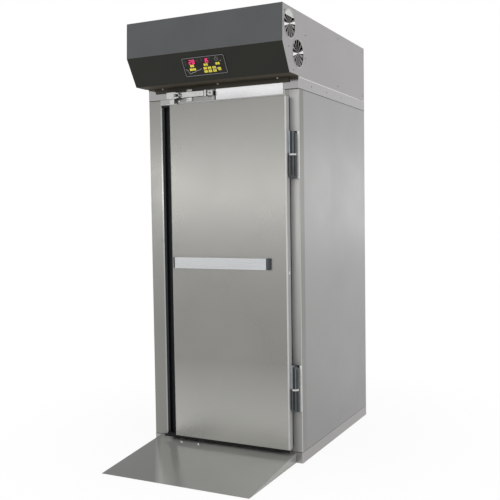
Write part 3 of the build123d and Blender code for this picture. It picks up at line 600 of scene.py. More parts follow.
NODE_FINISHES: dict[Finish, tuple[str, ...]] = {
    DOOR_STEEL: ("door_leaf",),
    LINER_STEEL: ("door_liner",),
    PANEL_STEEL: ("left_wall", "right_wall", "rear_wall"),
    FLOOR_STEEL: ("floor_panel",),
    CEILING_STEEL: ("ceiling_panel",),
    POST_STEEL: ("left_post", "right_post"),
    FRAME_STEEL: ("door_frame",),
    HEADER_STEEL_AND_REFLECTION: ("header_plate",),
    HOOD_STEEL: ("hood_left_side", "hood_right_side", "hood_cover"),
    GUARD_STEEL: ("front_vent_grille", "rear_vent_grille", "left_vent_grilles"),
    TRAY_SHADE_PAINT: ("hood_tray",),
    RAMP_STEEL: ("ramp",),
    INNER_STEEL: ("duct_panel", "trolley_guides"),
    FASCIA_LACQUER_AND_SHADE: ("front_fascia",),
    FAN_PLASTIC: ("front_vent_fan", "rear_vent_fan", "circulation_fan"),
    COMPRESSOR_ENAMEL: ("compressor",),
    COIL_METAL: ("condenser", "evaporator"),
    BEZEL_FILM: ("control_bezel",),
    DISPLAY_WINDOW: ("displays",),
    HINGE_POST: ("hinge_post_leaves",),
    HINGE_DOOR: ("hinge_door_leaves",),
    WASHER_NYLON: ("hinge_pins",),
    NICKEL: ("closer_body", "closer_arm", "striker_bracket", "heater_element", "steam_pipe"),
    CLOSER_ZINC: ("closer_plate",),
    ROLLER_NYLON: ("striker_roller",),
    SEAL_RUBBER: ("door_seals",),
    GRIP_PLASTIC_AND_LIGHT: ("grip_profile",),
    GRIP_CAP: ("grip_caps",),
    BUMPER_METAL: ("bumper_rail",),
    BUMPER_END: ("bumper_caps",),
}


def dress_nodes() -> None:
    """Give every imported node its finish."""
    keys = tuple(node for node in frame["nodes"] if node.startswith("key_"))
    for finish, nodes in (*NODE_FINISHES.items(), (KEY_CAP, keys)):
        for node in nodes:
            for entry in frame["nodes"][node].material_slots:
                entry.material = made(finish)
        LOG.info("%s on %s", finish.name, ", ".join(nodes))


# Modelling steps


def activate(piece: Piece) -> None:
    """Make a piece the active object and the only one selected."""
    bpy.ops.object.select_all(action="DESELECT")
    piece.select_set(True)
    bpy.context.view_layer.objects.active = piece


def settle(piece: Piece) -> Piece:
    """Write a piece's place, turn and size into its mesh."""
    activate(piece)
    bpy.ops.object.transform_apply(location=True, rotation=True, scale=True)
    return piece


def added(name: str) -> Piece:
    """Name the piece that was just added, and settle it."""
    bpy.context.object.name = name
    return settle(bpy.context.object)


def placed(piece: Piece, at: Matrix) -> Piece:
    """Move a piece from the origin to its place."""
    piece.matrix_world = at @ piece.matrix_world
    bpy.context.view_layer.update()
    return settle(piece)


def twin(model: Piece) -> Piece:
    """Copy a piece together with its mesh."""
    copy = model.copy()
    copy.data = model.data.copy()
    bpy.context.scene.collection.objects.link(copy)
    return copy


def soften(piece: Piece, width: float) -> Piece:
    """Round the active piece's sharp edges and smooth its gentle ones.

    Args:
        piece: The piece to finish.
        width: The width of the rounding.

    Returns:
        The same piece.
    """
    bevel = piece.modifiers.new("rounding", "BEVEL")
    bevel.width = width
    bevel.segments = 2
    bevel.limit_method = "ANGLE"
    bevel.angle_limit = SMOOTH_ANGLE
    bpy.ops.object.modifier_apply(modifier=bevel.name)
    bpy.ops.object.shade_smooth_by_angle(angle=SMOOTH_ANGLE)
    return piece


def pick_faces(piece: Piece, test: Callable[[Vector, Vector], bool]) -> None:
    """Select in edit mode the faces whose centre and normal pass a test."""
    bpy.ops.object.mode_set(mode="EDIT")
    bpy.ops.mesh.select_mode(type="FACE")
    bpy.ops.mesh.select_all(action="DESELECT")
    bpy.ops.object.mode_set(mode="OBJECT")
    for face in piece.data.polygons:
        face.select = test(face.center, face.normal)
    bpy.ops.object.mode_set(mode="EDIT")


def pick_vertices(piece: Piece, test: Callable[[bpy.types.MeshVertex], bool]) -> None:
    """Select in edit mode the vertices that pass a test."""
    bpy.ops.object.mode_set(mode="EDIT")
    bpy.ops.mesh.select_mode(type="VERT")
    bpy.ops.object.mode_set(mode="OBJECT")
    for vertex in piece.data.vertices:
        vertex.select = test(vertex)
    for group in (*piece.data.edges, *piece.data.polygons):
        group.select = False
    bpy.ops.object.mode_set(mode="EDIT")


def squeeze(value: Place, **about: Place) -> None:
    """Resize what is picked, and leave edit mode."""
    bpy.ops.transform.resize(value=value, **about)
    bpy.ops.object.mode_set(mode="OBJECT")


def block(name: str, low: Place, high: Place, edge: float) -> Piece:
    """Add a box between two corners and round its edges.

    Args:
        name: The piece's name.
        low: Its lowest corner.
        high: Its highest corner.
        edge: The width of the rounding.

    Returns:
        The piece.
    """
    middle = [(a + b) / 2 for a, b in zip(low, high)]
    bpy.ops.mesh.primitive_cube_add(size=1, location=middle)
    bpy.context.object.scale = [b - a for a, b in zip(low, high)]
    return soften(added(name), edge)


def rod(name: str, start: Place, end: Place, radius: float, edge: float, sides: int = 24) -> Piece:
    """Add a round rod between two points and round its rims.

    Args:
        name: The piece's name.
        start: The middle of one end.
        end: The middle of the other end.
        radius: The rod's radius.
        edge: The width of the rounding.
        sides: The number of faces around it.

    Returns:
        The piece.
    """
    run = Vector(end) - Vector(start)
    bpy.ops.mesh.primitive_cylinder_add(
        vertices=sides, radius=radius, depth=run.length, location=(Vector(start) + Vector(end)) / 2,
        rotation=run.to_track_quat("Z", "Y").to_euler(),
    )
    return soften(added(name), edge)


def trace(
    name: str, strokes: Sequence[Sequence[Spot]], radius: float, flat: float = 0.12,
    closed: bool = False,
) -> Piece:
    """Draw flat strokes about the origin, as a bead of paint or a lit segment.

    Args:
        name: The piece's name.
        strokes: Each stroke's points.
        radius: Half the stroke's width.
        flat: The bead's height as a share of its width.
        closed: Whether the strokes close on themselves.

    Returns:
        The piece, in the XY plane.
    """
    line = bpy.data.curves.new(name, "CURVE")
    line.dimensions = "3D"
    line.bevel_depth = radius
    line.bevel_resolution = 2
    line.use_fill_caps = True
    for points in strokes:
        spline = line.splines.new("POLY")
        spline.points.add(len(points) - 1)
        for point, (x, y) in zip(spline.points, points):
            point.co = (x, y, 0, 1)
        spline.use_cyclic_u = closed
    piece = bpy.data.objects.new(name, line)
    bpy.context.scene.collection.objects.link(piece)
    activate(piece)
    bpy.ops.object.convert(target="MESH")
    piece = bpy.context.object
    piece.scale.z = flat
    return settle(piece)


def lettered(name: str, text: str, size: float) -> Piece:
    """Write a short generic mark, centred on the origin in the XY plane."""
    bpy.ops.object.text_add()
    letters = bpy.context.object.data
    letters.body = text
    letters.size = size
    letters.extrude = 0.00006
    letters.offset = size * 0.02
    letters.align_x = "CENTER"
    letters.align_y = "CENTER"
    bpy.ops.object.convert(target="MESH")
    return added(name)


def merged(name: str, pieces: Sequence[Piece]) -> Piece:
    """Join pieces into one."""
    activate(pieces[0])
    for piece in pieces:
        piece.select_set(True)
    bpy.ops.object.join()
    return added(name)


def copied(name: str, model: Piece, spots: Sequence[tuple[Place, Place]]) -> Piece:
    """Copy a model to several places, each copy with its own mesh, and join the copies.

    Args:
        name: The joined piece's name.
        model: A piece that stands on the origin and points up.
        spots: Each copy's place and the way it points.

    Returns:
        The joined piece. The model is used up.
    """
    copies = []
    for at, way in spots:
        copy = twin(model)
        copy.location = at
        copy.rotation_mode = "QUATERNION"
        copy.rotation_quaternion = Vector(way).to_track_quat("Z", "Y")
        copies.append(copy)
    bpy.data.objects.remove(model)
    return merged(name, copies)


def arc(centre: Spot, radius: float, start: float, end: float, steps: int) -> list[Spot]:
    """Give points along an arc, with its angles in degrees."""
    turns = [math.radians(start + (end - start) * i / steps) for i in range(steps + 1)]
    return [(centre[0] + radius * math.cos(t), centre[1] + radius * math.sin(t)) for t in turns]


@dataclass(frozen=True)
class Screw:
    """A pan-head screw with a star recess."""

    radius: float
    height: float
    lobes: int = 6

    def model(self) -> Piece:
        """Model the screw's head standing on the origin."""
        bpy.ops.mesh.primitive_cylinder_add(
            vertices=4 * self.lobes, radius=self.radius, depth=self.height,
            location=(0, 0, self.height / 2),
        )
        head = added("screw_head")
        pick_faces(head, lambda centre, normal: normal.z > 0.9)
        bpy.ops.mesh.inset(thickness=self.radius * 0.2)
        bpy.ops.transform.translate(value=(0, 0, self.height * 0.12))
        bpy.ops.mesh.inset(thickness=self.radius * 0.3)
        pick_vertices(head, self.is_lobe)
        squeeze((0.72, 0.72, 1))
        inner = self.radius * 0.28
        pick_faces(head, lambda centre, normal: normal.z > 0.9 and centre.xy.length < inner)
        sink = (0, 0, -self.height * 0.7)
        bpy.ops.mesh.extrude_region_move(TRANSFORM_OT_translate={"value": sink})
        bpy.ops.object.mode_set(mode="OBJECT")
        bpy.ops.object.shade_smooth_by_angle(angle=SMOOTH_ANGLE)
        return head

    def is_lobe(self, vertex: bpy.types.MeshVertex) -> bool:
        """Tell whether a picked vertex of the recess's rim lies between two lobes."""
        turn = math.atan2(vertex.co.y, vertex.co.x) % math.tau
        return vertex.select and round(turn / math.tau * 4 * self.lobes) % 4 < 2


@dataclass(frozen=True)
class Strip:
    """A flat strip between two corners, and the body that carries it."""

    name: str
    low: Place
    high: Place
    edge: float
    finish: Finish
    body: str = CABINET


class Assembly:
    """Pieces that belong together on the proofer."""

    def build(self) -> None:
        """Build every piece of the assembly."""
        raise NotImplementedError

    def keep(self, piece: Piece, finish: Finish, body: str = CABINET) -> Piece:
        """Give a finished piece its material and its body, and report it.

        Args:
            piece: The piece.
            finish: Its finish.
            body: The CAD body that it moves with.

        Returns:
            The same piece.
        """
        piece.data.materials.clear()
        piece.data.materials.append(made(finish))
        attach(piece, body)
        LOG.info("%s, %d faces, on %s", piece.name, len(piece.data.polygons), body)
        return piece

    def lay(self, *strips: Strip) -> None:
        """Lay plain strips."""
        for strip in strips:
            piece = block(strip.name, strip.low, strip.high, strip.edge)
            self.keep(piece, strip.finish, strip.body)


# Hood


@dataclass
class HoodTrim(Assembly):
    """Sheets, screws, sealing beads and vent backing on the technical hood, and dark sheets of
    painted shade under it and on the panel front below it.
    """

    plate_x: float = 0.4885
    side_screws: tuple[Spot, ...] = (
        (-0.747, 2.467), (-0.467, 2.387), (-0.698, 2.288), (-0.468, 2.260), (-0.634, 2.173),
        (0.540, 2.470), (0.540, 2.180), (0.060, 2.470), (0.060, 2.180),
    )
    groove_y: float = -0.5802
    groove_z: float = 2.1495
    groove_screws: tuple[float, ...] = (-0.383, -0.010, 0.366)
    # A dark sheet of painted shadow on the ceiling panel's front, under the hood.
    shadow_sheet: Strip = Strip(
        "hood_shadow_sheet", (-0.436, -0.5757, 2.1215), (0.436, -0.5737, 2.1500), 0.0006, SHADOW_SHEET_PAINT
    )
    # A dark sheet on the hood's underside: painted shade.
    underside: Strip = Strip(
        "hood_underside", (-0.4868, -0.6940, 2.1490), (0.4868, -0.6040, 2.1503), 0.0003, TRAY_SHADE_PAINT
    )
    mat: Strip = Strip(
        "rear_filter_mat", (-0.30, 0.5655, 2.20), (0.30, 0.5678, 2.44), 0.0008, FILTER_MAT
    )
    bead_x: tuple[Spot, Spot] = ((-0.4898, -0.4885), (0.4885, 0.4898))
    bead_z: Spot = (2.144, 2.1466)
    front_vent: Spot = (-0.685, 2.408)
    vent_x: Spot = (0.4884, 0.4891)
    fold_r: float = 0.0730
    fold_z: float = 2.4462

    def build(self) -> None:
        """Build every piece of the trim."""
        self.fix_sides()
        self.fix_groove()
        self.lay(self.shadow_sheet, self.underside)
        self.lay_beads()
        self.back_vents()
        self.lay(self.mat)

    def fix_sides(self) -> None:
        """Put the small screws into both sides."""
        spots = [
            ((side * self.plate_x, y, z), (side, 0, 0))
            for side in (-1, 1) for y, z in self.side_screws
        ]
        self.keep(copied("hood_side_screws", Screw(0.0036, 0.0011).model(), spots), DULL_SCREW)

    def fix_groove(self) -> None:
        """Hang the pale screws from the groove under the hood, and a small one before it."""
        big = [((x, self.groove_y, self.groove_z), (0, 0, -1)) for x in self.groove_screws]
        self.keep(copied("groove_screws", Screw(0.0046, 0.0045).model(), big), PLUG_WHITE)
        small = [((-0.190, -0.667, self.groove_z), (0, 0, -1))]
        self.keep(copied("tray_screw", Screw(0.004, 0.003).model(), small), BRIGHT_METAL_AND_HIGHLIGHT)

    def lay_beads(self) -> None:
        """Lay a sealing bead where each side plate stands on the ceiling panel."""
        foot, top = self.bead_z
        beads = [
            block("bead", (low, -0.568, foot), (high, 0.567, top), 0.0006)
            for low, high in self.bead_x
        ]
        self.keep(merged("hood_seam_beads", beads), BRIGHT_METAL_AND_HIGHLIGHT)

    def back_vents(self) -> None:
        """Close the top of each front vent with the bright fold of the hood's cover."""
        folds = []
        for side in (-1, 1):
            ends = [(side * x, *self.front_vent) for x in self.vent_x]
            fold = rod("fold", *ends, self.fold_r, 0.0002, 48)
            pick_vertices(fold, lambda vertex: vertex.co.z < self.fold_z)
            squeeze((1, 0.84, 0), center_override=(0, self.front_vent[0], self.fold_z))
            folds.append(fold)
        self.keep(merged("vent_folds", folds), BAFFLE_STEEL)


@dataclass
class FanGuards(Assembly):
    """Round guards of radial slats with a bright bar of painted highlight, and the fans' motors
    behind them.
    """

    plane_x: float = 0.4891
    front: Spot = (-0.685, 2.408)
    rear: Spot = (-0.573, 2.271)
    reach: float = 0.0735
    hub: float = 0.0085
    slats: int = 13
    slat_w: float = 0.0190
    slat_t: float = 0.0008
    twist: float = 7.0
    # The painted highlight bar is tilted so that it looks level from the camera.
    bar_tilt: float = 13.4
    bar_w: float = 0.017
    bar_start: float = 0.004
    motor_r: float = 0.019
    shaft_r: float = 0.004

    def build(self) -> None:
        """Build the guards on both sides, and the motors on the side that has the fans."""
        self.guard("front_vent", ((1, self.front),), "front_vent_grille")
        self.guard("rear_vent", ((1, self.rear),), "rear_vent_grille")
        self.guard("left_vents", ((-1, self.front), (-1, self.rear)), "left_vent_grilles")
        for name, spot in (("front_fan", self.front), ("rear_fan", self.rear)):
            casing = rod("casing", (0.4822, *spot), (0.4595, *spot), self.motor_r, 0.002, 32)
            shaft = rod("shaft", (0.4600, *spot), (0.4378, *spot), self.shaft_r, 0.0005, 16)
            self.keep(merged(f"{name}_motor", [casing, shaft]), FAN_PLASTIC)

    def guard(self, name: str, places: Sequence[tuple[int, Spot]], node: str) -> None:
        """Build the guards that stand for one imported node.

        Args:
            name: The start of the pieces' names.
            places: Each guard's side and its centre's y and z.
            node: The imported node.
        """
        slats, highlight_bars, rings = [], [], []
        for side, spot in places:
            turn = Matrix.Rotation(0 if side > 0 else math.pi, 4, "Z")
            turn = Matrix.Translation((side * self.plane_x, *spot)) @ turn
            slats.append(placed(self.slat_wheel(), turn))
            highlight_bars.append(placed(self.highlight_bar(side), turn))
            rings.append(placed(self.ring(), turn))
        wheel = self.keep(merged(f"{name}_slats", slats), GUARD_STEEL)
        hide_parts(node)
        self.keep(merged(f"{name}_bar", highlight_bars), BRIGHT_METAL_AND_HIGHLIGHT)
        self.keep(merged(f"{name}_ring", rings), GUARD_RING)

    def slat_wheel(self) -> Piece:
        """Model one slat, twist it, and copy it round the hub."""
        half = [size / 2 for size in (self.slat_t, self.slat_w, self.reach - self.hub + 0.002)]
        slat = block("slat", [-size for size in half], half, 0.0002)
        pick_faces(slat, lambda centre, normal: centre.z < 0)
        squeeze((1, 0.12, 1))
        slat.rotation_euler.z = math.radians(self.twist)
        slat.location = (-0.0026, 0, (self.reach + self.hub) / 2)
        settle(slat)
        wheel = []
        for i in range(self.slats):
            copy = twin(slat)
            copy.matrix_world = Matrix.Rotation(math.tau * (i + 0.5) / self.slats, 4, "X")
            wheel.append(copy)
        bpy.data.objects.remove(slat)
        wheel.append(rod("hub", (-0.0040, 0, 0), (0.0004, 0, 0), self.hub, 0.0008, 20))
        return merged("wheel", wheel)

    def highlight_bar(self, side: int) -> Piece:
        """Model the bar of painted highlight, which widens from the hub to the rim on both sides.
        """
        halves = []
        for way in (-1, 1):
            low, high = sorted((way * self.bar_start, way * self.reach))
            half_w = self.bar_w / 2
            half = block("highlight_bar", (-0.0004, low, -half_w), (0.0004, high, half_w), 0.0002)
            pick_faces(half, lambda centre, normal: abs(centre.y) < self.reach / 2)
            squeeze((1, 1, 0.18), center_override=(0, way * self.bar_start, 0))
            halves.append(half)
        highlight_bar = merged("highlight_bar", halves)
        highlight_bar.rotation_euler.x = math.radians(self.bar_tilt) * side
        return settle(highlight_bar)

    def ring(self) -> Piece:
        """Model the flat rolled ring round a guard."""
        bpy.ops.mesh.primitive_torus_add(
            major_radius=self.reach + 0.0032, minor_radius=0.0034, major_segments=64,
            minor_segments=8, rotation=(0, math.pi / 2, 0),
        )
        ring = added("ring")
        ring.scale.x = 0.2
        settle(ring)
        pick_faces(ring, lambda centre, normal: True)
        bpy.ops.mesh.normals_make_consistent(inside=False)
        bpy.ops.object.mode_set(mode="OBJECT")
        bpy.ops.object.shade_smooth_by_angle(angle=math.radians(40))
        return ring


# Control panel


@dataclass
class PanelPrint(Assembly):
    """The control panel's outline, lit digits, pictograms, curve, lamps and key marks.

    Attributes:
        crease: The y and z of the hood's crease, from which the panel is measured down.
        foot: The y and z of the facet's lower edge.
        film: The film's height above the facet.
        rim: The height of the pale line round the film.
        cap: The height of the keys' caps.
    """

    crease: Spot = (-0.788, 2.301)
    foot: Spot = (-0.698, 2.150)
    film: float = 0.0040
    ink_h: float = 0.0001
    rim: float = 0.0046
    cap: float = 0.0049
    middle_down: float = 0.088
    width: float = 0.2628
    height: float = 0.1038
    corner: float = 0.0075
    slant: float = 0.10
    curve: tuple[Spot, ...] = (
        (-0.1235, -0.099), (-0.112, -0.1045), (-0.102, -0.128), (-0.081, -0.1195),
        (-0.071, -0.1205), (-0.054, -0.1105), (-0.041, -0.1105), (-0.023, -0.1035),
    )

    def build(self) -> None:
        """Build every mark on the panel."""
        self.draw_outline()
        self.light_digits()
        self.draw_icons()
        self.draw_curve()
        self.light_lamps()
        self.mark_keys()

    def at(self, height: float) -> Matrix:
        """Give the panel's own plane, this far out from the hood's facet."""
        run = Vector((0, self.foot[0] - self.crease[0], self.foot[1] - self.crease[1])).normalized()
        up, across = -run, Vector((1, 0, 0))
        out = across.cross(up)
        turn = Matrix((across, up, out)).transposed().to_4x4()
        return Matrix.Translation(Vector((0, *self.crease)) + out * height) @ turn

    def ink(self, mark: Piece, finish: Finish) -> None:
        """Lay a flat mark on the film."""
        self.keep(placed(mark, self.at(self.film + self.ink_h)), finish)

    def draw_outline(self) -> None:
        """Draw the pale line round the film."""
        half_w, half_h, r = self.width / 2, self.height / 2, self.corner
        line = []
        for sx, sy, start in ((1, 1, 0), (-1, 1, 90), (-1, -1, 180), (1, -1, 270)):
            centre = (sx * (half_w - r), sy * (half_h - r) - self.middle_down)
            line += arc(centre, r, start, start + 90, 6)
        ring = trace("panel_outline", [line], 0.0015, 0.2, closed=True)
        self.keep(placed(ring, self.at(self.rim)), FILM_LINE)

    def digit(
        self, value: str, left: float, low: float, width: float, height: float
    ) -> list[list[Spot]]:
        """Give the strokes of a seven-segment digit.

        Args:
            value: The digit.
            left: The place of its left side.
            low: The place of its foot.
            width: Its width.
            height: Its height.

        Returns:
            Each lit segment's two ends.
        """
        lit = {"2": "abged", "5": "afgcd", "8": "abcdefg"}[value]
        ends = {
            "a": ((0, 2), (1, 2)), "b": ((1, 2), (1, 1)), "c": ((1, 1), (1, 0)),
            "d": ((0, 0), (1, 0)), "e": ((0, 1), (0, 0)), "f": ((0, 2), (0, 1)),
            "g": ((0, 1), (1, 1)),
        }
        strokes = []
        for segment in lit:
            stroke = []
            for x, y in ends[segment]:
                up = y * height / 2
                stroke.append((left + x * width + self.slant * up, low + up))
            strokes.append(stroke)
        return strokes

    def light_digits(self) -> None:
        """Light the temperature and the humidity behind their windows."""
        left = self.digit("2", -0.0915, -0.0705, 0.0125, 0.0215)
        left += self.digit("8", -0.0715, -0.0705, 0.0125, 0.0215)
        right = self.digit("8", 0.0115, -0.0715, 0.0055, 0.0225)
        right += self.digit("5", 0.0220, -0.0715, 0.0055, 0.0225)
        first = trace("temperature_digits", left, 0.0019)
        second = trace("humidity_digits", right, 0.0015)
        self.ink(merged("lit_digits", [first, second]), LIT_RED)

    def draw_icons(self) -> None:
        """Print the clock beside the third window and the faint pictograms between the windows."""
        middle = (0.082, -0.056)
        face = arc(middle, 0.0105, 0, 345, 20)
        clock = [
            face + [face[0]], [middle, (0.082, -0.0485)], [middle, (0.0875, -0.0585)],
            [(0.082, -0.0435), (0.082, -0.0395)],
        ]
        self.ink(trace("clock_icon", clock, 0.0012), FILM_ICON)
        bulb = arc((-0.116, -0.074), 0.0035, 0, 345, 12)
        thermometer = [
            bulb + [bulb[0]], [(-0.116, -0.0705), (-0.116, -0.050)],
            [(-0.112, -0.055), (-0.110, -0.055)], [(-0.112, -0.061), (-0.110, -0.061)],
        ]
        ring = arc((-0.0415, -0.052), 0.0022, 0, 345, 10)
        degrees = [ring + [ring[0]], arc((-0.033, -0.0585), 0.006, 50, 310, 12)]
        tip = (-0.010, -0.044)
        drop = [[tip, *arc((-0.010, -0.0545), 0.0045, 150, 390, 12), tip]]
        share = [
            [(0.037, -0.056), (0.045, -0.043)], arc((0.0385, -0.046), 0.0015, 0, 345, 8),
            arc((0.0435, -0.053), 0.0015, 0, 345, 8),
        ]
        self.ink(trace("film_pictograms", thermometer + degrees + drop + share, 0.0009), FILM_FAINT)

    def draw_curve(self) -> None:
        """Print the process curve below the temperature keys."""
        self.ink(trace("process_curve", [self.curve], 0.0011), FILM_CURVE)

    def light_lamps(self) -> None:
        """Set the small round lamps into the film and the first program key."""
        lamps = (
            ("program_lamp", (0.0070, -0.1070), 0.0024, self.cap, LIT_ORANGE, "key_program_1"),
            ("start_lamp", (0.0737, -0.1097), 0.0030, self.film, LIT_BLUE, CABINET),
            ("hold_lamp", (0.106, -0.0686), 0.0021, self.film, FILM_CURVE, CABINET),
        )
        for name, (x, y), radius, height, finish, body in lamps:
            lamp = rod(name, (x, y, -0.0002), (x, y, 0.0004), radius, 0.0002, 20)
            self.keep(placed(lamp, self.at(height)), finish, body)

    def mark_keys(self) -> None:
        """Print each key's mark on its cap, so that it moves with the key."""
        signs = {"minus": "-", "plus": "+", "back": "<", "next": ">"}
        turn = self.at(self.cap + 0.00004)
        for node in sorted(name for name in frame["nodes"] if name.startswith("key_")):
            low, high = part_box(node)
            middle = turn.inverted() @ ((low + high) / 2)
            last = node.rsplit("_", 1)[1]
            if node == "key_start_stop":
                strokes = [arc((0, 0), 0.0042, 125, 415, 16), [(0, 0.0012), (0, 0.0062)]]
                mark = trace(f"mark_{node}", strokes, 0.0007)
            else:
                mark = lettered(f"mark_{node}", signs.get(last, last), 0.0085)
            at = turn @ Matrix.Translation((middle.x, middle.y, 0))
            self.keep(placed(mark, at), KEY_MARK, node)


# Door


@dataclass
class DoorTrim(Assembly):
    """Folds and strips of painted highlight and painted light, a sweep, hinge wings and fittings on
    the door, and strips of painted light on the post beside it.
    """

    # The folds and the side strip are painted highlight and painted light; the sweep is rubber.
    edges: tuple[Strip, ...] = (
        Strip("door_fold_highlight", (-0.3043, -0.6306, 0.0865), (-0.3012, -0.6274, 2.0415), 0.0006,
              EDGE_HIGHLIGHT, DOOR),
        Strip("door_side_light_strip", (0.4365, -0.6285, 0.087), (0.4379, -0.5895, 2.041), 0.0003,
              EDGE_HIGHLIGHT, DOOR),
        Strip("door_right_highlight", (0.4290, -0.6307, 0.087), (0.4373, -0.6284, 2.041), 0.0006,
              BRIGHT_EDGE_HIGHLIGHT, DOOR),
        Strip("door_sweep", (-0.385, -0.6280, 0.0705), (0.434, -0.6200, 0.0845), 0.0012,
              SEAL_RUBBER, DOOR),
    )
    hinge_middles: tuple[float, float] = (0.425, 1.722)
    wing: tuple[Place, Place] = ((0.4372, -0.6285, 0.0058), (0.4413, -0.5878, 0.1292))
    # Painted highlight strips on the post beside each hinge.
    post_highlight: tuple[Place, Place] = ((0.4776, -0.5746, -0.1290), (0.4884, -0.5698, 0.1290))
    # Painted light on the post's face beside the door.
    post_light: Strip = Strip(
        "post_face_light_strip", (0.4338, -0.5712, 0.064), (0.4860, -0.5698, 2.079), 0.0004, POST_FACE_LIGHT
    )
    plug_x: Spot = (0.4360, 0.4404)
    plug_at: Spot = (-0.611, 1.073)
    plug_r: float = 0.0100

    def build(self) -> None:
        """Build the trim of the door and of the post beside it."""
        self.lay(*self.edges)
        self.keep(self.at_hinges("hinge_wing_plates", self.wing, 0.0008), WING_STEEL, DOOR)
        self.keep(self.at_hinges("hinge_post_highlights", self.post_highlight, 0.0006), HINGE_HIGHLIGHT_STRIP)
        self.lay(self.post_light)
        ends = [(x, *self.plug_at) for x in self.plug_x]
        self.keep(rod("door_side_plug", *ends, self.plug_r, 0.0012), PLUG_WHITE, DOOR)

    def at_hinges(self, name: str, corners: tuple[Place, Place], edge: float) -> Piece:
        """Build the same plate at both hinges, with its heights counted from the hinge's middle."""
        plates = [
            block("plate", *((x, y, middle + z) for x, y, z in corners), edge)
            for middle in self.hinge_middles
        ]
        return merged(name, plates)


# Closer


@dataclass
class CloserTrim(Assembly):
    """The closer's screws, and a dark strip of painted shadow in the gap beside its plate."""

    plate_y: float = -0.573
    yoke_y: float = -0.580
    clevis: Place = (-0.0515, -0.6018, 2.098)
    # A dark strip of painted shadow in the gap between the closer's plate and the header plate.
    joint: Strip = Strip(
        "closer_gap_shadow", (-0.0340, -0.5748, 2.0615), (-0.0290, -0.5715, 2.1350), 0.0008, SEAL_RUBBER
    )

    def build(self) -> None:
        """Build the closer's trim."""
        out = (0, -1, 0)
        yoke = [((x, self.yoke_y, z), out) for x in (-0.212, -0.190) for z in (2.1245, 2.0720)]
        ends = [((x, self.plate_y, z), out) for x in (-0.272, -0.046) for z in (2.125, 2.071)]
        screws = copied("closer_screws", Screw(0.0048, 0.0022).model(), yoke + ends)
        self.keep(screws, SCREW_STEEL)
        self.lay(self.joint)
        clevis = copied("clevis_screw", Screw(0.0065, 0.0025).model(), [(self.clevis, out)])
        self.keep(clevis, DULL_SCREW)


# Ramp


@dataclass
class RampTrim(Assembly):
    """The screws and clips that hold the ramp's rear edge."""

    back_y: float = -0.570
    nose_y: float = -1.165
    top_z: float = 0.056
    screw_y: float = -0.583
    screws: tuple[float, ...] = (-0.290, -0.150, 0.289)
    clip_y: Spot = (-0.639, -0.632)
    clip_half: float = 0.0060
    clips: tuple[float, ...] = (-0.262, -0.148)

    def top(self, y: float) -> float:
        """Give the tread's height at a place along it."""
        return self.top_z * (y - self.nose_y) / (self.back_y - self.nose_y)

    def build(self) -> None:
        """Build the ramp's trim."""
        slope = math.atan2(self.top_z, self.back_y - self.nose_y)
        way = (0, -math.sin(slope), math.cos(slope))
        spots = [((x, self.screw_y, self.top(self.screw_y)), way) for x in self.screws]
        self.keep(copied("ramp_screws", Screw(0.0048, 0.0012).model(), spots), SCREW_STEEL)
        half, (front, back) = self.clip_half, self.clip_y
        foot, top = self.top(front) - 0.0010, self.top(back) + 0.0050
        clips = [
            block("clip", (x - half, front, foot), (x + half, back, top), 0.0008)
            for x in self.clips
        ]
        self.keep(merged("ramp_clips", clips), BRIGHT_METAL_AND_HIGHLIGHT)


ASSEMBLIES: tuple[type[Assembly], ...] = (
    HoodTrim, FanGuards, PanelPrint, DoorTrim, CloserTrim, RampTrim,
)


# Studio


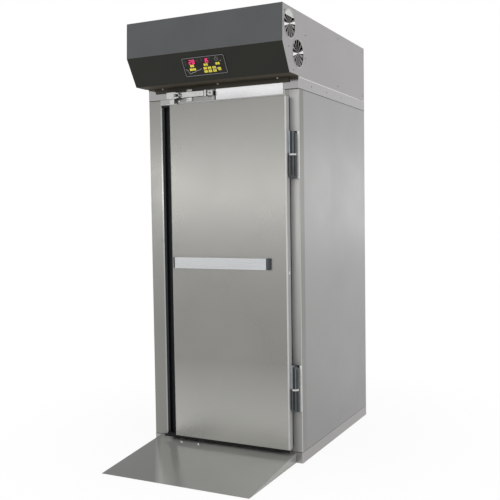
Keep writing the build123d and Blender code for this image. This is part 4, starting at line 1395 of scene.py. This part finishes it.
@dataclass
class Studio:
    """The pale floor, the lamps, the surrounding light and the camera."""

    camera_at: Place = (2.132, -4.488, 1.420)
    yaw: float = 26.517
    pitch: float = -2.94
    roll: float = -0.82
    lens: float = 55.37
    floor_r: float = 14.0
    floor_tone: float = 0.86
    floor_white: float = 0.93
    floor_ends: Spot = (0.9, 2.0)
    world_light: float = 0.55
    lit_point: Place = (0, -0.2, 1.2)
    lamps: tuple[tuple[str, Place, float, float], ...] = (
        ("key", (-3.6, -6.0, 4.6), 5.0, 118.0),
        ("fill", (5.6, -3.6, 3.6), 4.0, 60.0),
        ("top", (0.6, 0.8, 6.5), 4.0, 60.0),
        ("back", (3.5, 5.6, 3.4), 4.0, 50.0),
    )
    tubes: tuple[tuple[str, Place, Spot, float], ...] = (
        ("front", (-2.3, -5.4, 1.72), (6.0, 0.45), 35.5),
        ("right", (2.6, 5.2, 1.60), (5.0, 1.2), 8.0),
    )

    def build(self) -> None:
        """Build the whole studio."""
        self.place_camera()
        self.lay_floor()
        self.light_world()
        for name, place, size, power in self.lamps:
            self.hang_lamp(name, place, (size, size), power).visible_glossy = False
        for name, place, size, power in self.tubes:
            self.hang_lamp(name, place, size, power).visible_diffuse = False

    def place_camera(self) -> None:
        """Put the camera where the photograph was taken from."""
        yaw, pitch, roll = (math.radians(v) for v in (self.yaw, self.pitch, self.roll))
        reach = math.cos(pitch)
        forward = Vector((-math.sin(yaw) * reach, math.cos(yaw) * reach, math.sin(pitch)))
        level = Vector((math.cos(yaw), math.sin(yaw), 0))
        upright = level.cross(forward)
        right = math.cos(roll) * level + math.sin(roll) * upright
        up = -math.sin(roll) * level + math.cos(roll) * upright
        data = bpy.data.cameras.new("camera")
        data.lens = self.lens
        data.sensor_width = 36
        camera = bpy.data.objects.new("camera", data)
        bpy.context.scene.collection.objects.link(camera)
        turn = Matrix((right, up, -forward)).transposed().to_4x4()
        camera.matrix_world = Matrix.Translation(self.camera_at) @ turn
        bpy.context.scene.camera = camera

    def lay_floor(self) -> None:
        """Lay a pale floor that turns into the white background away from the object."""
        graph = Graph(bpy.data.materials.new("studio_floor"))
        matt = graph.add("ShaderNodeBsdfDiffuse")
        matt.inputs["Color"].default_value = (*(self.floor_tone,) * 3, 1)
        glow = graph.add("ShaderNodeEmission")
        glow.inputs["Color"].default_value = (1, 1, 1, 1)
        reach = graph.on("LENGTH", graph.place()).outputs["Value"]
        fade = graph.spread(reach, self.floor_white, 1.0, *self.floor_ends)
        graph.blend(graph.times(graph.seen(), fade), matt, glow)
        bpy.ops.mesh.primitive_circle_add(vertices=96, radius=self.floor_r, fill_type="NGON")
        floor = bpy.context.object
        floor.name = "studio_floor"
        floor.data.materials.append(graph.owner)

    def light_world(self) -> None:
        """Light the surroundings softly, and show them white where they are seen."""
        world = bpy.data.worlds.new("studio")
        bpy.context.scene.world = world
        graph = Graph(world)
        lights = []
        for strength in (self.world_light, 1.0):
            light = graph.add("ShaderNodeBackground")
            light.inputs["Color"].default_value = (1, 1, 1, 1)
            light.inputs["Strength"].default_value = strength
            lights.append(light)
        graph.blend(graph.seen(), *lights)

    def hang_lamp(self, name: str, place: Place, size: Spot, power: float) -> bpy.types.Object:
        """Hang a soft lamp that faces the cabinet's middle.

        Args:
            name: The lamp's name.
            place: Where it hangs.
            size: Its width and height.
            power: Its power in watts.

        Returns:
            The lamp.
        """
        data = bpy.data.lights.new(f"{name}_lamp", "AREA")
        data.shape = "RECTANGLE"
        data.size, data.size_y = size
        data.energy = power
        lamp = bpy.data.objects.new(f"{name}_lamp", data)
        lamp.location = place
        way = Vector(self.lit_point) - Vector(place)
        lamp.rotation_euler = way.to_track_quat("-Z", "Y").to_euler()
        bpy.context.scene.collection.objects.link(lamp)
        return lamp


def main() -> None:
    """Dress the proofer, add its details, build the studio and report each piece."""
    logging.basicConfig(level=logging.INFO, format="%(name)s: %(message)s")
    bpy.context.scene.view_settings.view_transform = "Standard"
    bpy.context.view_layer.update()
    dress_nodes()
    for assembly in ASSEMBLIES:
        assembly().build()
    Studio().build()


if __name__ == "__main__":
    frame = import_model()
    main()
